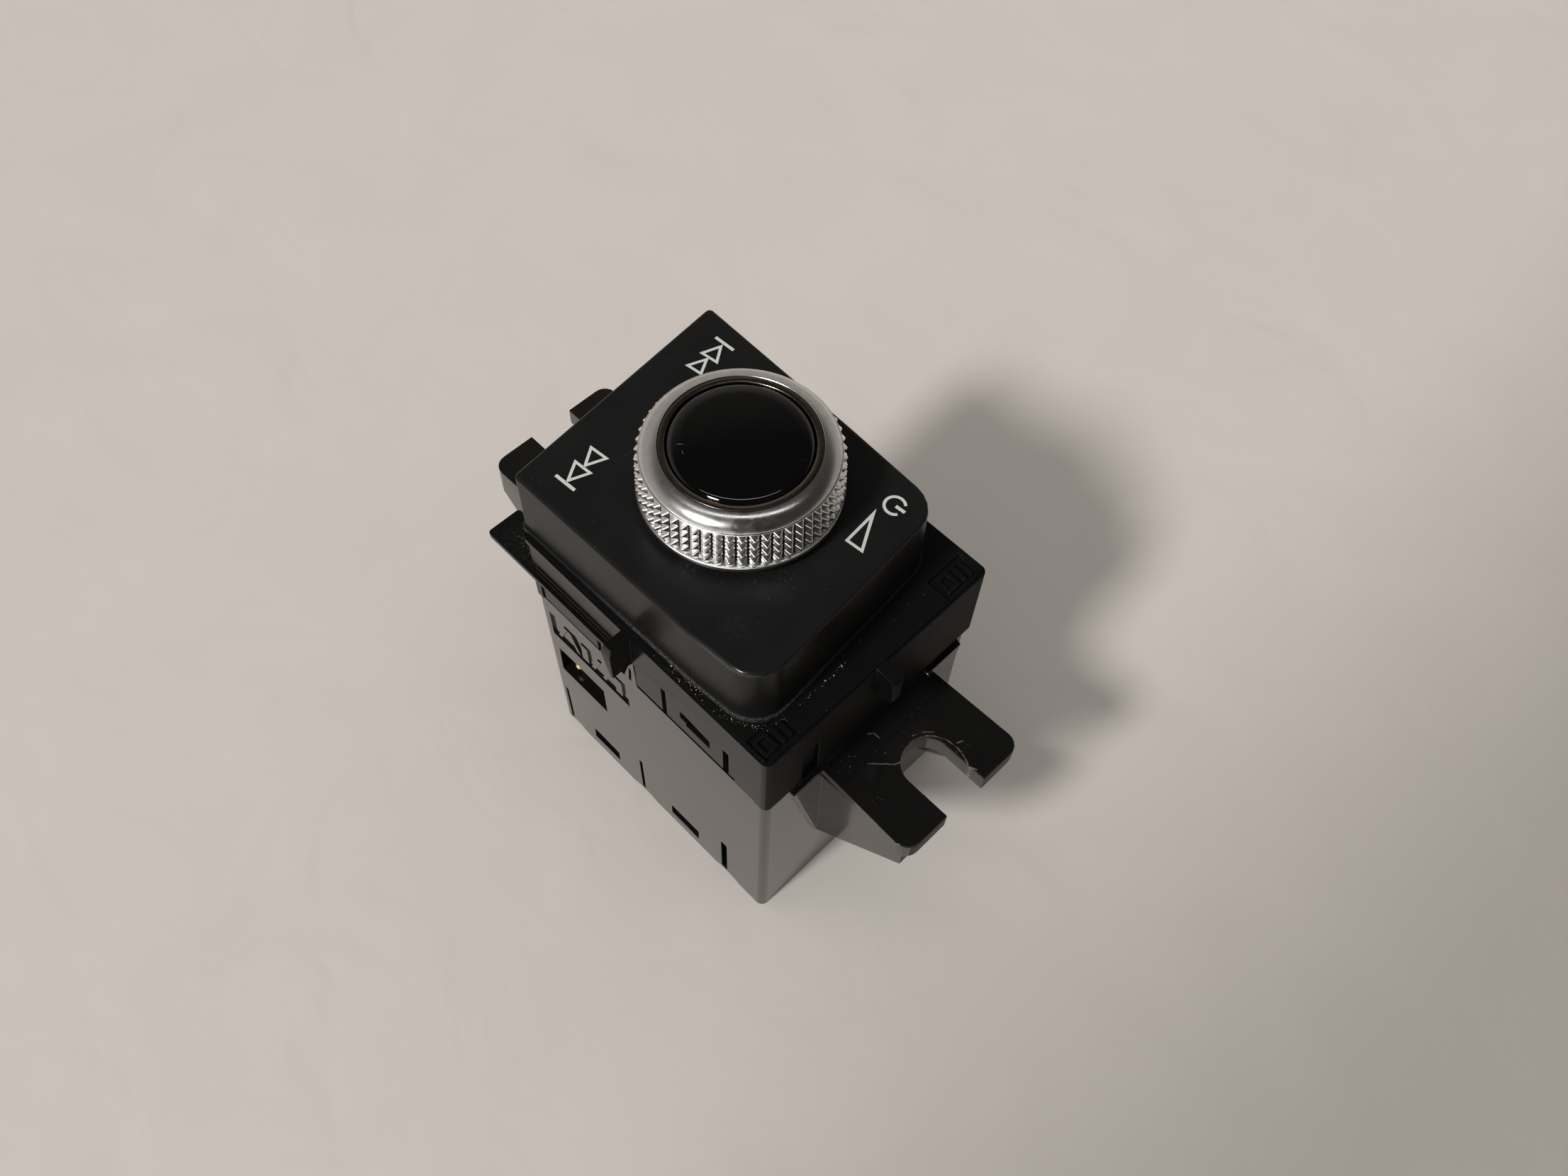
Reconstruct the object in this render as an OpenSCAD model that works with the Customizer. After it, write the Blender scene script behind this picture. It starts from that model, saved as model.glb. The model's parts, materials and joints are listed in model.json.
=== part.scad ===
// Volume control switch of a centre console: a knurled push, turn and tilt knob over a slanted
// cover, a short upper frame and a deep lower housing with a U-slotted bracket at each end.
// Millimetres. +Z is up, +X the window side, +Y the end with the shorter bracket.
// The origin is the bottom centre of the lower housing. The knob axis stands at y = knob_y.

/* [Lower housing] */
// Reach of the housing to -X
housing_left = 20.5; // [19.6:0.1:21.2]
// Reach of the housing to +X
housing_right = 21.5; // [21:0.1:22.5]
// Half length of the housing along Y
housing_half_l = 24.7; // [24:0.1:26]
// Height of the housing
housing_h = 42; // [40:0.5:46]
// Wall of the housing
housing_wall = 2; // [1.6:0.1:2.2]
// Radius of the upright edges
housing_edge_r = 1.3; // [0.8:0.1:2]
// Height of the clip slots and the slits beside them
clip_slit_h = 12; // [9:0.5:14]

/* [Side window] */
// Distance of the window from the housing's rear end
window_end = 2.7; // [2.5:0.1:4]
// Length of the window
window_l = 10.8; // [8:0.1:12]
// Height of the window's sill
window_z0 = 19.8; // [18:0.1:21]
// Height of the window
window_h = 7.5; // [6:0.1:8]

/* [Brackets] */
// Depth of the brackets' flat top below the housing's rim
bracket_drop = 1.9; // [1.2:0.1:4]
// Thickness of the bracket plates
bracket_t = 3.4; // [2.5:0.1:4]
// Half width of a bracket at its tip
bracket_half_w = 12; // [11:0.1:12.5]
// Shift of the brackets to -X
bracket_shift = 0.8; // [0.4:0.1:1]
// Reach of the front bracket past the housing
bracket_front_l = 17.6; // [16:0.1:20]
// Reach of the rear bracket past the housing
bracket_rear_l = 23.9; // [20:0.1:26]
// Half width of the screw slot
slot_r = 3.9; // [3:0.1:4.2]
// Depth of the screw slot from the tip to its centre
slot_depth = 7.3; // [5:0.1:9]
// Radius of the bracket's outer corners
bracket_corner_r = 2.2; // [1:0.1:3]
// Thickness of the side gussets
gusset_t = 3; // [2:0.1:3.4]
// Depth of a gusset at the bracket's tip
gusset_tip_h = 6.7; // [5:0.1:8]

/* [Upper frame] */
// Half width of the frame
frame_half_w = 21.7; // [21.6:0.1:23]
// Half length of the frame
frame_half_l = 24.9; // [24.8:0.1:26.5]
// Height of the frame
frame_h = 15.5; // [15:0.1:18]
// Wall of the frame
frame_wall = 1.8; // [1.4:0.1:1.9]
// Thickness of the frame's deck
deck_t = 1.6; // [1.2:0.1:2]
// Depth of the step along the frame's top edge
top_step = 0.35; // [0.2:0.05:0.6]
// Reach of the hook block on the window side
hook_reach = 3.6; // [3:0.1:4]
// Reach of the locator rib on the front face
locator_reach = 3.2; // [2:0.1:4]
// Reach of the thin side flange behind the frame
flange_tail = 9.8; // [6:0.1:11]

/* [Cover] */
// Reach of the cover to +X at its rear end
cover_right = 20.5; // [20:0.1:21]
// Reach of the cover to -X at its rear end
cover_left = 18.94; // [18.6:0.1:20.5]
// Reach of the cover to the front on the window side
cover_front = 20.62; // [20:0.1:23]
// Reach of the cover to the rear on the window side
cover_rear = 25.3; // [24.5:0.1:28]
// Loss of length of the slanted front edge across the cover
front_slant = 2.92; // [0:0.1:4]
// Gain of length of the slanted rear edge across the cover
rear_slant = 3.77; // [0:0.1:5]
// Height of the cover above the frame's deck
cover_h = 12.5; // [12:0.1:15]
// Wall of the cover
cover_wall = 1.6; // [1.2:0.1:1.8]
// Rounding of the cover's top edge
cover_edge = 0.6; // [0.3:0.05:1]
// Spread of the cover's wall at its foot
cover_draft = 0.15; // [0.1:0.05:0.5]
// Reach of the lip round the cover's foot
foot_lip = 0.35; // [0.2:0.05:0.4]
// Height of the lip round the cover's foot
foot_lip_h = 0.8; // [0.5:0.1:1.2]
// Radius of the hole that the knob's hub passes through
hub_hole_r = 7; // [6:0.1:8]

/* [Knob] */
// Place of the knob's axis along Y
knob_y = -2.7; // [-3.2:0.1:-2.2]
// Radius of the knob's bottom flange
flange_r = 14; // [13.8:0.1:14.6]
// Gap between the cover and the knob's flange
knob_gap = 1.39; // [1.3:0.01:2]
// Thickness of the knob's bottom flange
flange_t = 1.03; // [0.8:0.01:1.4]
// Height of the knurled band
knurl_h = 6.23; // [5:0.01:8]
// Radius over the knurl's points at the bottom
knurl_r = 14.05; // [13.8:0.05:14.5]
// Loss of radius of the knurl towards the top
knurl_taper = 0.27; // [0.1:0.01:0.5]
// Depth of the knurl's grooves
knurl_depth = 0.6; // [0.4:0.05:0.8]
// Rows of knurl points
knurl_rows = 4; // [3:1:6]
// Knurl points round the knob
knurl_columns = 54; // [36:2:72]
// Turn of the knurl, to a point's angle
knurl_turn = 46.94; // [0:0.01:50]
// Radius of the bezel's crisp lower edge
bezel_r = 13.25; // [12.8:0.05:13.4]
// Height of the bezel over the knurl
bezel_h = 1.76; // [1.4:0.01:2.2]
// Outer radius of the trim ring
ring_r = 10.6; // [10.2:0.05:11]
// Radius of the glossy cap
cap_r = 9.67; // [9:0.01:9.9]
// Height of the cap's edge above the ring
cap_proud = 0.18; // [0:0.01:0.4]
// Rise of the cap's dome
cap_dome = 0.12; // [0.05:0.01:0.4]
// Wall between the knob's outside and its hub
sleeve_wall = 2.3; // [1.9:0.1:2.5]

/* [Movement] */
// Tilt of the knob to each side, in degrees
tilt_angle = 2; // [1.5:0.1:2]
// Travel of the knob when pressed
press_travel = 0.6; // [0.4:0.05:0.6]
// Height of the tilt axis above the deck
pivot_rise = 2.5; // [2.3:0.1:3]
// Radius of the tilt pins
tilt_pin_r = 1.5; // [1:0.1:1.6]
// Radius of the encoder's shaft
shaft_r = 2.5; // [2:0.1:2.8]
// Outer radius of the sliding collar
collar_r = 3.5; // [3.3:0.05:3.8]
// Outer radius of the encoder's neck
neck_r = 4.8; // [4.6:0.05:5.2]
// Side of the encoder's square body
encoder_w = 12.6; // [12:0.1:14]
// Height of the encoder's body
encoder_h = 8; // [7.5:0.1:8.4]
// Wire of the return spring
spring_wire = 0.5; // [0.3:0.05:0.6]
// Turns of the return spring
spring_turns = 4; // [3:1:5]

/* [Boards and connector] */
// Thickness of the circuit boards
board_t = 1.6; // [1.2:0.1:2]
// Depth of the switch board's top below the deck's top
board_drop = 7.5; // [7.4:0.1:9]
// Distance of the main board's outer face from the knob axis
main_board_x = 17.8; // [17:0.1:18.2]
// Length of the connector socket
socket_l = 18; // [16:0.1:20]
// Width of the connector socket
socket_w = 9.6; // [8.5:0.1:10]
// Wall of the connector socket
socket_wall = 1.5; // [1:0.1:1.6]
// Contacts in the connector
contact_count = 6; // [2:1:6]
// Distance between the contacts
contact_pitch = 2.2; // [2:0.1:2.4]

/* [Hidden] */
$fn = 64;

black_plastic = [0.07, 0.07, 0.08];
satin_black = [0.12, 0.12, 0.13];
board_green = [0.06, 0.25, 0.14];
clear_plastic = [0.85, 0.88, 0.9];
bright_steel = [0.75, 0.75, 0.76];
brass_yellow = [0.78, 0.6, 0.3];
titanium_grey = [0.36, 0.34, 0.32];
satin_silver = [0.72, 0.72, 0.72];

slack = 0.1;          // gap between fixed pieces that slip together
running_gap = 0.05;   // radial gap of a shaft in its bore
open_gap = 0.3;       // gap at a stop or beside a moving piece
overcut = 1;          // how far a cutter passes the face that it opens
slice = 0.01;         // thickness of the sections that a hull joins

deck_z = housing_h + frame_h;
cover_z = deck_z + cover_h;
bracket_z = housing_h - bracket_drop;
window_y0 = window_end - housing_half_l;
flange_z = cover_z + knob_gap;
knurl_z = flange_z + flange_t;
bezel_z = knurl_z + knurl_h;
ring_z = bezel_z + bezel_h;
pivot_z = deck_z + pivot_rise;
roof_z = cover_z - cover_wall;
deck_under_z = deck_z - deck_t;
board_top_z = deck_z - board_drop;
board_under_z = board_top_z - board_t;

inner_left = housing_left - housing_wall;
inner_right = housing_right - housing_wall;
inner_half_l = housing_half_l - housing_wall;

// Unit vector along v
function unit(v) = v / norm(v);

// Arc that rounds the corner b between a and c, given as [x, y, radius]
function corner_arc(a, b, c, steps) =
    let (
        p = [b[0], b[1]],
        u = unit([a[0], a[1]] - p),
        v = unit([c[0], c[1]] - p),
        half = acos(u * v) / 2,
        centre = p + unit(u + v) * b[2] / sin(half),
        from = p + u * b[2] / tan(half) - centre,
        to = p + v * b[2] / tan(half) - centre,
        start = atan2(from[1], from[0]),
        turn = atan2(to[1], to[0]) - start,
        sweep = turn > 180 ? turn - 360 : (turn < -180 ? turn + 360 : turn)
    )
    [for (i = [0:steps]) let (angle = start + sweep * i / steps) centre + b[2] * [cos(angle), sin(angle)]];

// Outline through corners [x, y, radius], each corner rounded
function rounded(corners, steps = 5) =
    let (count = len(corners))
    [
        for (i = [0:count - 1])
            let (before = corners[(i + count - 1) % count], after = corners[(i + 1) % count])
                for (p = corner_arc(before, corners[i], after, steps)) p
    ];

// The same corners, moved inwards by d
function inset(corners, d) =
    let (count = len(corners))
    [for (i = [0:count - 1])
        let (
            b = corners[i],
            p = [b[0], b[1]],
            a = corners[(i + count - 1) % count],
            c = corners[(i + 1) % count],
            u = unit([a[0], a[1]] - p),
            v = unit([c[0], c[1]] - p),
            moved = p + unit(u + v) * d / sin(acos(u * v) / 2)
        )
        [moved[0], moved[1], max(b[2] - d, 0.2)]];

// Box between two corners
module block(low, high) {
    translate(low)
        cube(high - low);
}

// Upright slab between two corners, its upright edges rounded with true arcs
module slab(low, high, r) {
    translate([0, 0, low[2]])
        linear_extrude(high[2] - low[2])
            union() {
                translate([low[0] + r, low[1]])
                    square([high[0] - low[0] - 2 * r, high[1] - low[1]]);
                translate([low[0], low[1] + r])
                    square([high[0] - low[0], high[1] - low[1] - 2 * r]);
                for (x = [low[0] + r, high[0] - r], y = [low[1] + r, high[1] - r])
                    translate([x, y])
                        circle(r);
            }
}

// Outline in the XZ plane, extruded along Y from y0 to y1
module along_y(points, y0, y1) {
    translate([0, y1, 0])
        rotate([90, 0, 0])
            linear_extrude(y1 - y0)
                polygon(points);
}

// Outline in the YZ plane, extruded along X from x0 to x1
module along_x(points, x0, x1) {
    translate([x0, 0, 0])
        rotate([90, 0, 90])
            linear_extrude(x1 - x0)
                polygon(points);
}

// Tube about the Z axis
module tube(r_out, r_in, z0, z1) {
    difference() {
        translate([0, 0, z0])
            cylinder(h = z1 - z0, r = r_out);
        translate([0, 0, z0 - overcut])
            cylinder(h = z1 - z0 + 2 * overcut, r = r_in);
    }
}

// Lower housing
clip_slot_h = 3.2;
clip_slot_z = 2.6;
clip_nib = 1.1;
clip_nib_h = 1.2;
clip_a = [-16.3, -10];
clip_b = [3.2, 9.6];
slit_z = 1.2;
slits = [[2.1 - housing_half_l, 0.6], [-4, 0.6], [15.8, 1.2]];
notches = [3.2 - housing_half_l, -3.4, 16.4];
strip_y = [2.3 - housing_half_l, -4.6];
strip_z = [housing_h - 10.5, housing_h - 3.7];
strip_depth = 0.35;
root_sink = 1;
tab_root = 4;
tab_t = 1.4;
tab_gap = 0.1;
catch_y = [5.5, 15.2];
catch_nib_y = [8.6, 13.2];
catch_rise = 8;
frame_window_rise = 4.8;
frame_window_z = housing_h + frame_window_rise;
frame_window_h = 2.1;
groove_rib = 1.3;
main_board_y = inner_half_l - slack;
main_board_bottom = 3;
main_board_top = board_under_z - 1.8;

// Flat top of a bracket that reaches out from y = 0 to y = reach
module bracket_plate(reach) {
    root = 1.5;
    taper = 0.5;
    corners = [
        [-bracket_half_w + taper, -root, 0.3],
        [bracket_half_w - taper, -root, 0.3],
        [bracket_half_w, reach, bracket_corner_r],
        [-bracket_half_w, reach, bracket_corner_r]
    ];
    translate([0, 0, bracket_z - bracket_t])
        linear_extrude(bracket_t)
            difference() {
                polygon(rounded(corners));
                translate([0, reach - slot_depth])
                    circle(slot_r);
                translate([-slot_r, reach - slot_depth])
                    square([2 * slot_r, slot_depth + overcut]);
            }
}

// Side gusset of a bracket: its lower edge climbs to the tip at 45 degrees
module bracket_gusset(reach) {
    root = 1;
    tip = reach - bracket_corner_r / 2;
    tip_z = bracket_z - gusset_tip_h;
    points = [
        [-root, tip_z - tip - root],
        [tip, tip_z],
        [tip, bracket_z - bracket_t / 2],
        [-root, bracket_z - bracket_t / 2]
    ];
    along_x(points, 0, gusset_t);
}

// Bracket with its plate, two gussets and two flares into the housing's wall
module bracket(reach) {
    flare_w = 5.6;
    flare_t = 0.9;
    foot_z = bracket_z - gusset_tip_h - reach + bracket_corner_r / 2;
    bracket_plate(reach);
    for (side = [0, 1])
        mirror([side, 0, 0])
            union() {
                translate([bracket_half_w - gusset_t - 0.3, 0, 0])
                    bracket_gusset(reach);
                along_y([
                    [bracket_half_w - 1.5, foot_z],
                    [bracket_half_w - 0.3, foot_z],
                    [bracket_half_w + flare_w, bracket_z + 0.8],
                    [bracket_half_w - 1.5, bracket_z + 0.8]
                ], -root_sink, flare_t);
            }
}

module lower_housing() color(black_plastic) {
    difference() {
        union() {
            difference() {
                slab([-housing_left, -housing_half_l, 0], [housing_right, housing_half_l, housing_h],
                    housing_edge_r);
                block([-inner_left, -inner_half_l, -overcut],
                    [inner_right, inner_half_l, housing_h + overcut]);
            }
            translate([-bracket_shift, housing_half_l, 0])
                bracket(bracket_front_l);
            translate([-bracket_shift, -housing_half_l, 0])
                mirror([0, 1, 0])
                    bracket(bracket_rear_l);
            housing_tab();
            housing_catch();
            board_ribs();
        }
        side_window();
        clip_cuts();
        block([housing_right - strip_depth, strip_y[0], strip_z[0]],
            [housing_right + overcut, strip_y[1], strip_z[1]]);
        bottom_notches();
    }
}

// Pointed tab that stands on the window side's wall and fills the notch in the frame
module housing_tab() {
    points = [
        [-4.6, housing_h - tab_root], [-4.6, housing_h + 0.8], [-3.4, housing_h + 4.9],
        [-2.1, housing_h + 7.1], [-2, housing_h - tab_root]
    ];
    difference() {
        along_x(points, inner_right, housing_right);
        along_x([
            [-3.75, housing_h - 0.6], [-3.3, housing_h - 0.6], [-3, housing_h + 3.6], [-3.3, housing_h + 4.2]
        ], inner_right - overcut, housing_right + overcut);
    }
}

// Spring catch inside the frame's wall, with a nib in the frame's window
module housing_catch() {
    x1 = frame_half_w - frame_wall - tab_gap;
    x0 = x1 - tab_t;
    block([x0, catch_y[0], housing_h - tab_root], [x1, catch_y[1], housing_h + catch_rise]);
    block([x0, catch_y[0], housing_h - tab_root], [inner_right + housing_wall / 2, catch_y[1], housing_h]);
    along_y([
        [x1 - slack, frame_window_z + 0.2], [x1 + frame_wall - 0.4, frame_window_z + 0.3],
        [x1 + frame_wall - 0.4, frame_window_z + 0.7], [x1 - slack, frame_window_z + 1.1]
    ], catch_nib_y[0], catch_nib_y[1]);
}

// Ribs that hold the main board's two upright edges
module board_ribs() {
    rib_x = main_board_x - board_t - slack - groove_rib;
    for (side = [0, 1])
        mirror([0, side, 0])
            block([rib_x, inner_half_l - groove_rib, main_board_bottom],
                [rib_x + groove_rib, inner_half_l + slack, housing_h]);
}

module side_window() {
    block([inner_right - overcut, window_y0, window_z0],
        [housing_right + overcut, window_y0 + window_l, window_z0 + window_h]);
}

// Clip slots low in both long walls, with an upright slit beside each
module clip_cuts() {
    for (side = [0, 1])
        mirror([side, 0, 0])
            union() {
                for (clip = [clip_a, clip_b])
                    block([inner_left - overcut, clip[0], clip_slot_z],
                        [housing_right + overcut, clip[1], clip_slot_z + clip_slot_h]);
                for (slit = slits)
                    block([inner_left - overcut, slit[0] - slit[1] / 2, slit_z],
                        [housing_right + overcut, slit[0] + slit[1] / 2, clip_slit_h]);
            }
}

// Shallow pry notches in the bottom edge of the window side
module bottom_notches() {
    notch_r = 6;
    notch_rise = 0.7;
    for (y = notches)
        translate([housing_right - housing_wall / 2, y, notch_rise - notch_r])
            rotate([0, 90, 0])
                cylinder(h = housing_wall + overcut, r = notch_r, center = true);
}

// Base plate
plate_z = 0;
plate_t = 1.8;
hook_t = 1.2;

module base_plate() color(satin_black) {
    difference() {
        union() {
            slab([-inner_left + slack, -inner_half_l + slack, plate_z],
                [inner_right - slack, inner_half_l - slack, plate_z + plate_t], 0.5);
            plate_hooks(inner_right, 0);
            plate_hooks(inner_left, 1);
        }
        block([socket_x0 - slack, -socket_l / 2 - slack, -overcut],
            [socket_x1 + slack, socket_l / 2 + slack, plate_z + plate_t + overcut]);
    }
}

// Two upright hooks at one wall, each with a nib in its clip slot
module plate_hooks(wall_x, side) {
    shy = 0.4;
    mirror([side, 0, 0])
        for (clip = [clip_a, clip_b])
            along_y([
                [wall_x - slack - hook_t, plate_z], [wall_x - slack, plate_z],
                [wall_x - slack, clip_slot_z + slack], [wall_x + clip_nib, clip_slot_z + slack],
                [wall_x - slack, clip_slot_z + clip_nib_h],
                [wall_x - slack, clip_slot_z + clip_slot_h + 0.6],
                [wall_x - slack - hook_t, clip_slot_z + clip_slot_h + 0.6]
            ], clip[0] + shy, clip[1] - shy);
}

// Main board and what is on it
main_board_in = main_board_x - board_t;
socket_x1 = main_board_in - slack;
socket_x0 = socket_x1 - socket_w;
socket_top = 11;
socket_floor_t = 2;
socket_key_w = 2;
socket_key_drop = 4;
capacitor_y = 14;
capacitor_z = 26;
contact_w = 0.64;
contact_tip = 4.7;
brass_r = 0.6;
brass_z = window_z0 + 2.1;
brass_y = window_y0 + 2.3;
brass_reach = 2.6;
brass_sink = 0.6;
header_l = 16;
header_w = 2.8;
header_z = main_board_top - 2.6;
header_h = 2.4;
header_pitch = 2;
header_count = 8;

module main_board() color(board_green) {
    difference() {
        block([main_board_in, -main_board_y, main_board_bottom],
            [main_board_x, main_board_y, main_board_top]);
        translate([main_board_in - overcut, brass_y, brass_z])
            rotate([0, 90, 0])
                cylinder(h = board_t + 2 * overcut, r = brass_r);
    }
}

module control_chip() color(satin_black) {
    chip_w = 9;
    chip_t = 1.2;
    chip_z = 22;
    block([main_board_in - chip_t, -chip_w / 2, chip_z], [main_board_in, chip_w / 2, chip_z + chip_w]);
}

module filter_capacitor() color([0.25, 0.25, 0.28]) {
    can_r = 3.1;
    can_l = 7.5;
    translate([main_board_in - can_l, capacitor_y, capacitor_z])
        rotate([0, 90, 0])
            cylinder(h = can_l, r = can_r);
}

module connector_shroud() color(black_plastic) {
    middle = (socket_x0 + socket_x1) / 2;
    difference() {
        block([socket_x0, -socket_l / 2, plate_z], [socket_x1 + slack, socket_l / 2, socket_top]);
        block([socket_x0 + socket_wall, -socket_l / 2 + socket_wall, -overcut],
            [socket_x1 - socket_wall, socket_l / 2 - socket_wall, socket_top - socket_floor_t]);
        block([middle - socket_key_w / 2, socket_l / 2 - socket_wall - slack, -overcut],
            [middle + socket_key_w / 2, socket_l / 2 - socket_wall / 2, socket_top - socket_key_drop]);
    }
}

module connector_pins() color(brass_yellow) {
    x = (socket_x0 + socket_x1) / 2;
    for (i = [0:contact_count - 1])
        let (y = (i - (contact_count - 1) / 2) * contact_pitch)
            block([x - contact_w / 2, y - contact_w / 2, contact_tip],
                [x + contact_w / 2, y + contact_w / 2, socket_top - socket_floor_t]);
}

// Contact through the main board, its domed end in sight through the window
module brass_contact() color(brass_yellow) {
    head_r = 2 * brass_r;
    head_t = brass_sink - slack / 2;
    length = board_t + brass_sink + brass_reach;
    translate([main_board_in - brass_sink, brass_y, brass_z])
        rotate([0, 90, 0])
            rotate_extrude()
                polygon([
                    [0, 0], [head_r, 0], [head_r, head_t], [brass_r, head_t], [brass_r, length - 0.3],
                    [brass_r * 0.6, length - 0.05], [0, length]
                ]);
}

module board_header() color(black_plastic) {
    block([main_board_in - header_w, -header_l / 2, header_z],
        [main_board_in, header_l / 2, header_z + header_h]);
}

module header_pins() color(brass_yellow) {
    pin_w = 0.6;
    x = main_board_in - header_w / 2;
    for (i = [0:header_count - 1])
        let (y = (i - (header_count - 1) / 2) * header_pitch)
            block([x - pin_w / 2, y - pin_w / 2, header_z + header_h],
                [x + pin_w / 2, y + pin_w / 2, board_top_z + 1]);
}

// Upper frame
rocker_open_x = 15.2;
rocker_open_y = 10.8;
stand_y0 = 12.1;
stand_t = 2.5;
seam_gap = 1.4;
board_boss_r = 2.1;
board_boss_back = 4.3 - frame_half_l;
board_boss_front = frame_half_l - 5.5;
board_bosses = [[-6, board_boss_back], [1.5, board_boss_back], [-6, board_boss_front], [6, board_boss_front]];
screw_r = 1.1;
screw_head_r = 2;
pocket_depth = 0.5;
pocket_y = 20.3;
near_pocket_x = 15.1;
far_pocket = [-20.6, -13.8];
hook_y0 = 3.4;
hook_y1 = 1.9;
hook_foot = housing_h + 7.8;
notch_back = 6.6;
seam_y = [-1.6, 18.6, frame_half_l - 2.3];
rear_slot_y = 2.2 - frame_half_l;
rear_slot_w = 0.7;
flange_level = housing_h + 4.1;
flange_thick = 0.9;
recess_x = frame_half_w - 0.8;

module upper_frame() color(black_plastic) {
    difference() {
        union() {
            difference() {
                frame_outside();
                block([-frame_half_w + frame_wall, -frame_half_l + frame_wall, housing_h - overcut],
                    [frame_half_w - frame_wall, frame_half_l - frame_wall, deck_under_z]);
            }
            side_flange();
            hook_block();
            locator_rib();
            for (p = board_bosses)
                translate([p[0], p[1], board_top_z])
                    cylinder(h = deck_under_z - board_top_z + slack, r = board_boss_r);
        }
        deck_openings();
        wall_slots();
        seam_cuts();
        corner_pockets();
    }
}

// Block with the fine step along its top edge and the shallow recess over the side flange
module frame_outside() {
    step_z = deck_z - 0.5;
    edge_r = 1.2;
    difference() {
        union() {
            slab([-frame_half_w, -frame_half_l, housing_h], [frame_half_w, frame_half_l, step_z], edge_r);
            slab([-frame_half_w + top_step, -frame_half_l + top_step, housing_h],
                [frame_half_w - top_step, frame_half_l - top_step, deck_z], edge_r);
        }
        block([recess_x, -frame_half_l - overcut, flange_level + flange_thick],
            [frame_half_w + overcut, -hook_y0, deck_z - 1.5]);
    }
}

// Thin flange along the window side, with two fine ridges, running on behind the frame
module side_flange() {
    block([recess_x - 1, -frame_half_l + 1, flange_level],
        [frame_half_w + 0.1, -hook_y0, flange_level + flange_thick]);
    slab([frame_half_w - 5.9, -frame_half_l - flange_tail, flange_level],
        [frame_half_w + 0.1, -frame_half_l + 2, flange_level + flange_thick], 0.6);
    for (i = [0:1])
        block([recess_x - 1, -frame_half_l + 1, flange_level + 1.5 + i],
            [recess_x + 0.45 - 0.2 * i, -hook_y0, flange_level + 1.9 + i]);
}

// Hook on the window side: level top, chamfered nose, and a rear side that slopes in to its foot
module hook_block() {
    x0 = frame_half_w - 0.5;
    tip_x = frame_half_w + hook_reach;
    top_z = deck_z - 0.1;
    nose_z = top_z - 1.9;
    intersection() {
        along_y([
            [x0, top_z], [tip_x - 0.4, top_z], [tip_x, nose_z], [tip_x, hook_foot], [x0, hook_foot]
        ], -hook_y0 - overcut, -hook_y1);
        along_x([
            [overcut - hook_y1, top_z + overcut], [-hook_y0, top_z + overcut], [-hook_y0, top_z - 0.2],
            [-hook_y0 - 0.5, nose_z], [-hook_y1 - 0.4, hook_foot - overcut],
            [overcut - hook_y1, hook_foot - overcut]
        ], x0 - overcut, tip_x + overcut);
    }
}

// Locator rib on the front face, its top and sides chamfered
module locator_rib() {
    tip_y = frame_half_l + locator_reach;
    x0 = -1.1;
    x1 = 1;
    intersection() {
        along_x([
            [frame_half_l - 0.5, deck_z - 7], [tip_y - 0.3, deck_z - 6.2], [tip_y, deck_z - 5.6],
            [tip_y, deck_z - 1], [tip_y - 0.8, deck_z - 0.5], [frame_half_l - 0.5, deck_z - 0.2]
        ], x0, x1);
        translate([0, 0, housing_h])
            linear_extrude(frame_h)
                polygon([
                    [x0, frame_half_l - 1], [x1, frame_half_l - 1], [x1, tip_y - 0.3],
                    [x1 - 0.3, tip_y], [x0 + 0.5, tip_y], [x0, tip_y - 0.5]
                ]);
    }
}

// Holes through the deck: for the rocker, the light guides and the screws
module deck_openings() {
    block([-rocker_open_x, knob_y - rocker_open_y, deck_under_z - overcut],
        [rocker_open_x, knob_y + rocker_open_y, deck_z + overcut]);
    for (guide = guides)
        let (half_w = guide[2] / 2 + open_gap, half_d = guide[3] / 2 + open_gap)
            block([guide[0] - half_w, guide[1] - half_d, deck_under_z - overcut],
                [guide[0] + half_w, guide[1] + half_d, deck_z + overcut]);
    for (p = cover_bosses)
        translate([p[0], p[1], deck_under_z - overcut])
            cylinder(h = deck_t + 2 * overcut, r = screw_r + slack);
    for (p = board_bosses)
        translate([p[0], p[1], board_top_z - overcut])
            cylinder(h = overcut + 5, r = screw_r);
}

// Slots of the spring tongue in the window side's wall, with the catch window between them
module wall_slots() {
    x0 = frame_half_w - frame_wall - overcut;
    x1 = frame_half_w + 0.6;
    block([x0, 3.95, housing_h - overcut], [x1, 4.8, housing_h + 8.5]);
    block([x0, 16.4, housing_h - overcut], [x1, 17.5, housing_h + 7.7]);
    along_x([
        [7.8, frame_window_z], [9, frame_window_z], [9, frame_window_z - 0.9], [13.7, frame_window_z - 0.9],
        [13.7, frame_window_z + frame_window_h - 0.9], [9, frame_window_z + frame_window_h - 0.2],
        [7.8, frame_window_z + frame_window_h - 0.2]
    ], x0, x1);
    for (y = [rear_slot_y, rear_slot_y + 12.7])
        block([x0, y, housing_h - overcut], [x1, y + rear_slot_w, flange_level - 0.2]);
}

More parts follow.
